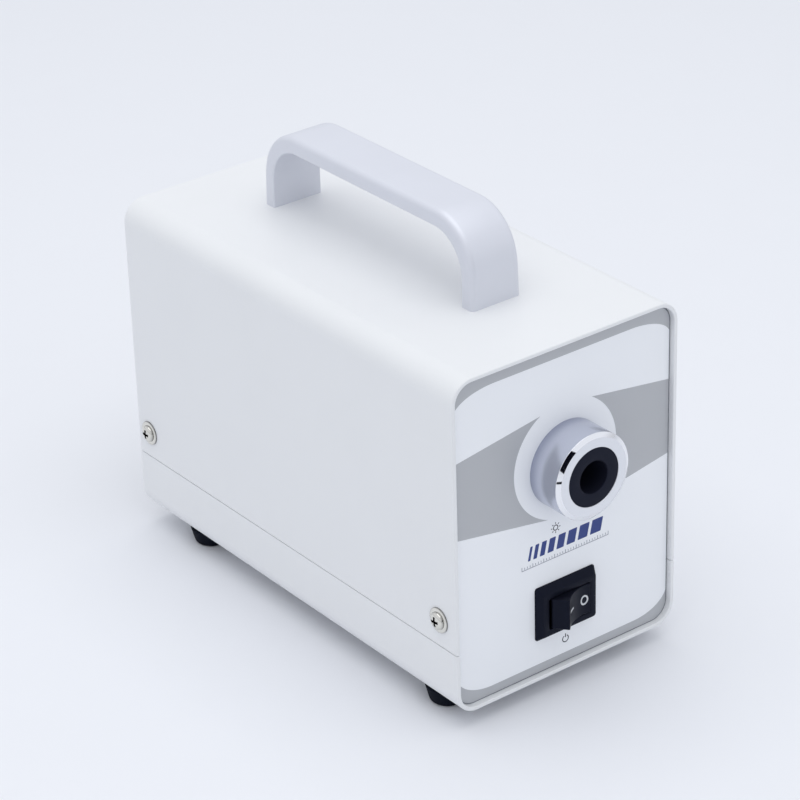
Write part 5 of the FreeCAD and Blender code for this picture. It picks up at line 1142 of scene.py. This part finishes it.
outlines = (side_band(-1), side_band(1),
            border(film_high.z, *TOP_SWEEP, 1), border(film_low.z, *BOTTOM_SWEEP, -1))
printed("print_fields", together([field(outline) for outline in outlines]), print_grey)

# %% [markdown]
# The words and the name on such a panel aren't drawn here. A row of blue bars that widen
# stands for brightness, with a fine scale under it. A small sun marks the light outlet, and a
# plain power sign the switch. Each is built from bars and rings and printed like the fields.

# %% Bars, scale and signs
BARS, BAR_GAP, BAR_LEAN, BAR_CORNER = 8, 1.5, 0.22, 0.3
BARS_LEFT, BARS_RIGHT = -19.0, 19.4
BARS_FOOT, BARS_HEIGHT = case_underside + 56.6, 6.3
TICK, SHORT_TICK, LONG_EVERY = 0.3, 0.55, 4
SCALE, SCALE_PLACE = (33, -22.8, 22.8, 1.7), (0.7, 53.2)
SUN_RADIUS, SUN_PLACE = 1.35, (-4.4, 66.9)
POWER_RADIUS, POWER_PLACE = 1.75, (0.6, 12.7)

print_blue = Finish("print_blue_finish", ink(30, 56, 128), 0.36).weather(0.3, 0.001)
print_dark = Finish("print_dark_finish", ink(30, 33, 48), 0.4).weather(0.3, 0.001)
print_pale = Finish("print_pale_finish", ink(150, 154, 166), 0.4).weather(0.3, 0.001)


def leaning_bar(i):
    """Outline of one bar; each is wider than the one before by the same step."""
    step = (BARS_RIGHT - BARS_LEFT - BAR_GAP * (BARS - 1)) / (BARS * (BARS + 3) / 2)
    left = BARS_LEFT + i * BAR_GAP + step * i * (i + 3) / 2
    right = left + step * (i + 2)
    top, lean = BARS_FOOT + BARS_HEIGHT, BAR_LEAN * BARS_HEIGHT
    corners = [(left, BARS_FOOT), (right, BARS_FOOT), (right + lean, top), (left + lean, top)]
    return rounded([(*corner, BAR_CORNER) for corner in corners], 3)


def on_film(x, z):
    """Matrix that stands a flat sign up on the film."""
    turn = Matrix(((1, 0, 0), (0, 0, -1), (0, 1, 0))).to_4x4()
    return Matrix.Translation((x, film_low.y, case_underside + z)) @ turn


def tick_row(count, left, right, height):
    """Scale of ticks on a base line; one in every few is long."""
    pitch = (right - left) / (count - 1)
    ticks = [flat_bar(left + i * pitch, height / 2, TICK, height * (SHORT_TICK if i % LONG_EVERY else 1))
             for i in range(count)]
    return together(ticks + [flat_bar((left + right) / 2, 0, right - left + TICK, TICK)])


def sun(radius):
    """Ring with eight rays."""
    rays = [flat_bar(1.55 * radius, 0, 0.5 * radius, 0.26 * radius, math.pi / 4 * i) for i in range(8)]
    return together(rays + [flat_ring(radius, 0.7 * radius)])


def power_sign(radius):
    """Open ring with a stroke in its opening."""
    ring = flat_ring(radius, 0.76 * radius, 36, 0.33, 1.17)
    return together([ring, flat_bar(0, 0.85 * radius, 0.26 * radius, radius)])


printed("print_bars", together([field(leaning_bar(i)) for i in range(BARS)]), print_blue)
printed("print_scale", laid(tick_row(*SCALE), on_film(*SCALE_PLACE)), print_pale)
printed("print_sun", laid(sun(SUN_RADIUS), on_film(*SUN_PLACE)), print_dark)
printed("print_power", laid(power_sign(POWER_RADIUS), on_film(*POWER_PLACE)), print_dark)

# %% [markdown]
# ## The studio
#
# A pale sweep of floor, a bright even sky and one large soft lamp overhead: the light of a
# product photographer's tent. The floor keeps the soft shadow. What the camera sees of the sky
# is set apart from what lights the object, so the background is pale and the paint doesn't clip.
# In reflections the sky fades towards the horizon, as the walls of a tent do.

# %% Camera
TARGET = Vector((-2.1, -6.43, 90.35))
AZIMUTH, ELEVATION, ROLL = math.radians(37.095), math.radians(27.816), math.radians(-1.744)
DISTANCE, LENS, SENSOR = 1315.94, 140.6, 36.0

lens = bpy.data.cameras.new("camera")
lens.lens, lens.sensor_width = LENS, SENSOR
camera = bpy.data.objects.new("camera", lens)
bpy.context.scene.collection.objects.link(camera)
aim = Vector((math.sin(AZIMUTH) * math.cos(ELEVATION), math.cos(AZIMUTH) * math.cos(ELEVATION),
              -math.sin(ELEVATION)))
camera.location = (TARGET - aim * DISTANCE) * MM
camera.rotation_mode = "QUATERNION"
camera.rotation_quaternion = aim.to_track_quat("-Z", "Y") @ Quaternion((0, 0, 1), ROLL)
bpy.context.scene.camera = camera
bpy.context.scene.view_settings.view_transform = "Standard"
print("Camera in mm:", [round(part / MM) for part in camera.location])

# %% [markdown]
# The sky is two backgrounds mixed by the kind of ray: one lights the object, and the other is
# what the camera, a mirror or a piece of glass sees. Floor, sky and lamp are sized in metres.

# %% Floor, sky and lamp
SKY_LIGHT, SKY_STRENGTH = (0.93, 0.96, 1.0, 1.0), 0.8
BACKDROP = (0.86, 0.88, 0.94, 1.0)
HORIZON_SHARE, HORIZON_HEIGHT = 0.75, 0.25
FLOOR_REACH = 6.0
LAMP_POWER, LAMP_SIDE, LAMP_PLACE = 8.0, 1.6, (-0.15, -0.1, 1.5)

floor_finish = Finish("floor_finish", (0.85, 0.86, 0.90, 1.0), 0.7)
floor_finish.weather(4.0, 0.01, tint=0.01)
bm = bmesh.new()
bmesh.ops.create_grid(bm, x_segments=8, y_segments=8, size=FLOOR_REACH)
floor_mesh = bpy.data.meshes.new("floor")
bm.to_mesh(floor_mesh)
bm.free()
floor_mesh.materials.append(floor_finish.material)
floor = bpy.data.objects.new("floor", floor_mesh)
bpy.context.scene.collection.objects.link(floor)

world = bpy.data.worlds.new("studio")
world.use_nodes = True
bpy.context.scene.world = world
world.node_tree.nodes.clear()
sky = Tree(world.node_tree)
path = sky.inner.nodes.new("ShaderNodeLightPath")
by_camera, glossy, through = (Signal(sky, path.outputs[f"Is {kind} Ray"])
                              for kind in ("Camera", "Glossy", "Transmission"))
direction = sky.add("ShaderNodeTexCoord", output="Generated")
height = sky.add("ShaderNodeSeparateXYZ", values={"Vector": direction}, output="Z")
overhead = sky.add("ShaderNodeMapRange", {"interpolation_type": "SMOOTHSTEP"}, {
    "Value": height, "From Min": 0.0, "From Max": HORIZON_HEIGHT,
    "To Min": HORIZON_SHARE, "To Max": 1.0})
reflected = glossy * overhead + (1 - glossy)
light = sky.add("ShaderNodeBackground", values={"Color": SKY_LIGHT, "Strength": SKY_STRENGTH})
shown = sky.add("ShaderNodeBackground", values={"Color": BACKDROP, "Strength": reflected})
seen = by_camera + glossy + through
mixed = sky.add("ShaderNodeMixShader", values={
    0: seen.maths("MINIMUM", seen, 1.0), 1: light, 2: shown})
out = sky.inner.nodes.new("ShaderNodeOutputWorld")
sky.inner.links.new(mixed.socket, out.inputs["Surface"])

lamp = bpy.data.lights.new("softbox", "AREA")
lamp.shape, lamp.size, lamp.size_y, lamp.energy = "RECTANGLE", LAMP_SIDE, LAMP_SIDE, LAMP_POWER
softbox = bpy.data.objects.new("softbox", lamp)
softbox.location = LAMP_PLACE
bpy.context.scene.collection.objects.link(softbox)
print("Softbox over the floor:", LAMP_POWER, "W,", LAMP_SIDE, "m wide")

# %% [markdown]
# Polished metal shows the room. Two narrow black cards stand before the object, where only
# glossy rays see them, and draw the short dark bar and the tick on the collar's chamfer. A
# card's place is the mirror direction of the camera's ray at that point of the chamfer.

# %% Cards for the polished chamfer
CARDS = (("bar_card", 123.0, 154.0, 800.0), ("tick_card", 167.8, 171.2, 280.0))
CARD_BREADTH = 0.3
CHAMFER_MIDDLE = COLLAR_RADIUS - COLLAR_CHAMFER[0] / 2
COLLAR_FRONT = Vector((PORT.x, collar_low.y, PORT.z))


def mirrored(angle, distance):
    """Where the chamfer, at an angle about the port, mirrors the camera at a distance from it."""
    inwards, along = COLLAR_CHAMFER
    turn = math.radians(angle)
    outwards = Vector((math.cos(turn), 0, math.sin(turn)))
    normal = (along * outwards + Vector((0, -inwards, 0))).normalized()
    return COLLAR_FRONT + CHAMFER_MIDDLE * outwards + aim.reflect(normal) * distance


card_black = Finish("card_black_finish", (0.004, 0.004, 0.008, 1.0), 1.0, 0, {"Specular IOR Level": 0.0})
for name, start, end, distance in CARDS:
    first, last = mirrored(start, distance), mirrored(end, distance)
    sight = (first + last) / 2 - COLLAR_FRONT
    across = (last - first).cross(sight).normalized() * CARD_BREADTH * distance / 2
    corners = [first - across, last - across, last + across, first + across]
    card = bpy.data.meshes.new(name)
    card.from_pydata([corner * MM for corner in corners], [], [(0, 1, 2, 3)])
    card.materials.append(card_black.material)
    stand = bpy.data.objects.new(name, card)
    bpy.context.scene.collection.objects.link(stand)
    for ray in ("camera", "diffuse", "transmission", "volume_scatter", "shadow"):
        setattr(stand, "visible_" + ray, False)
    print(f"{name}: {(last - first).length:.0f} mm long")
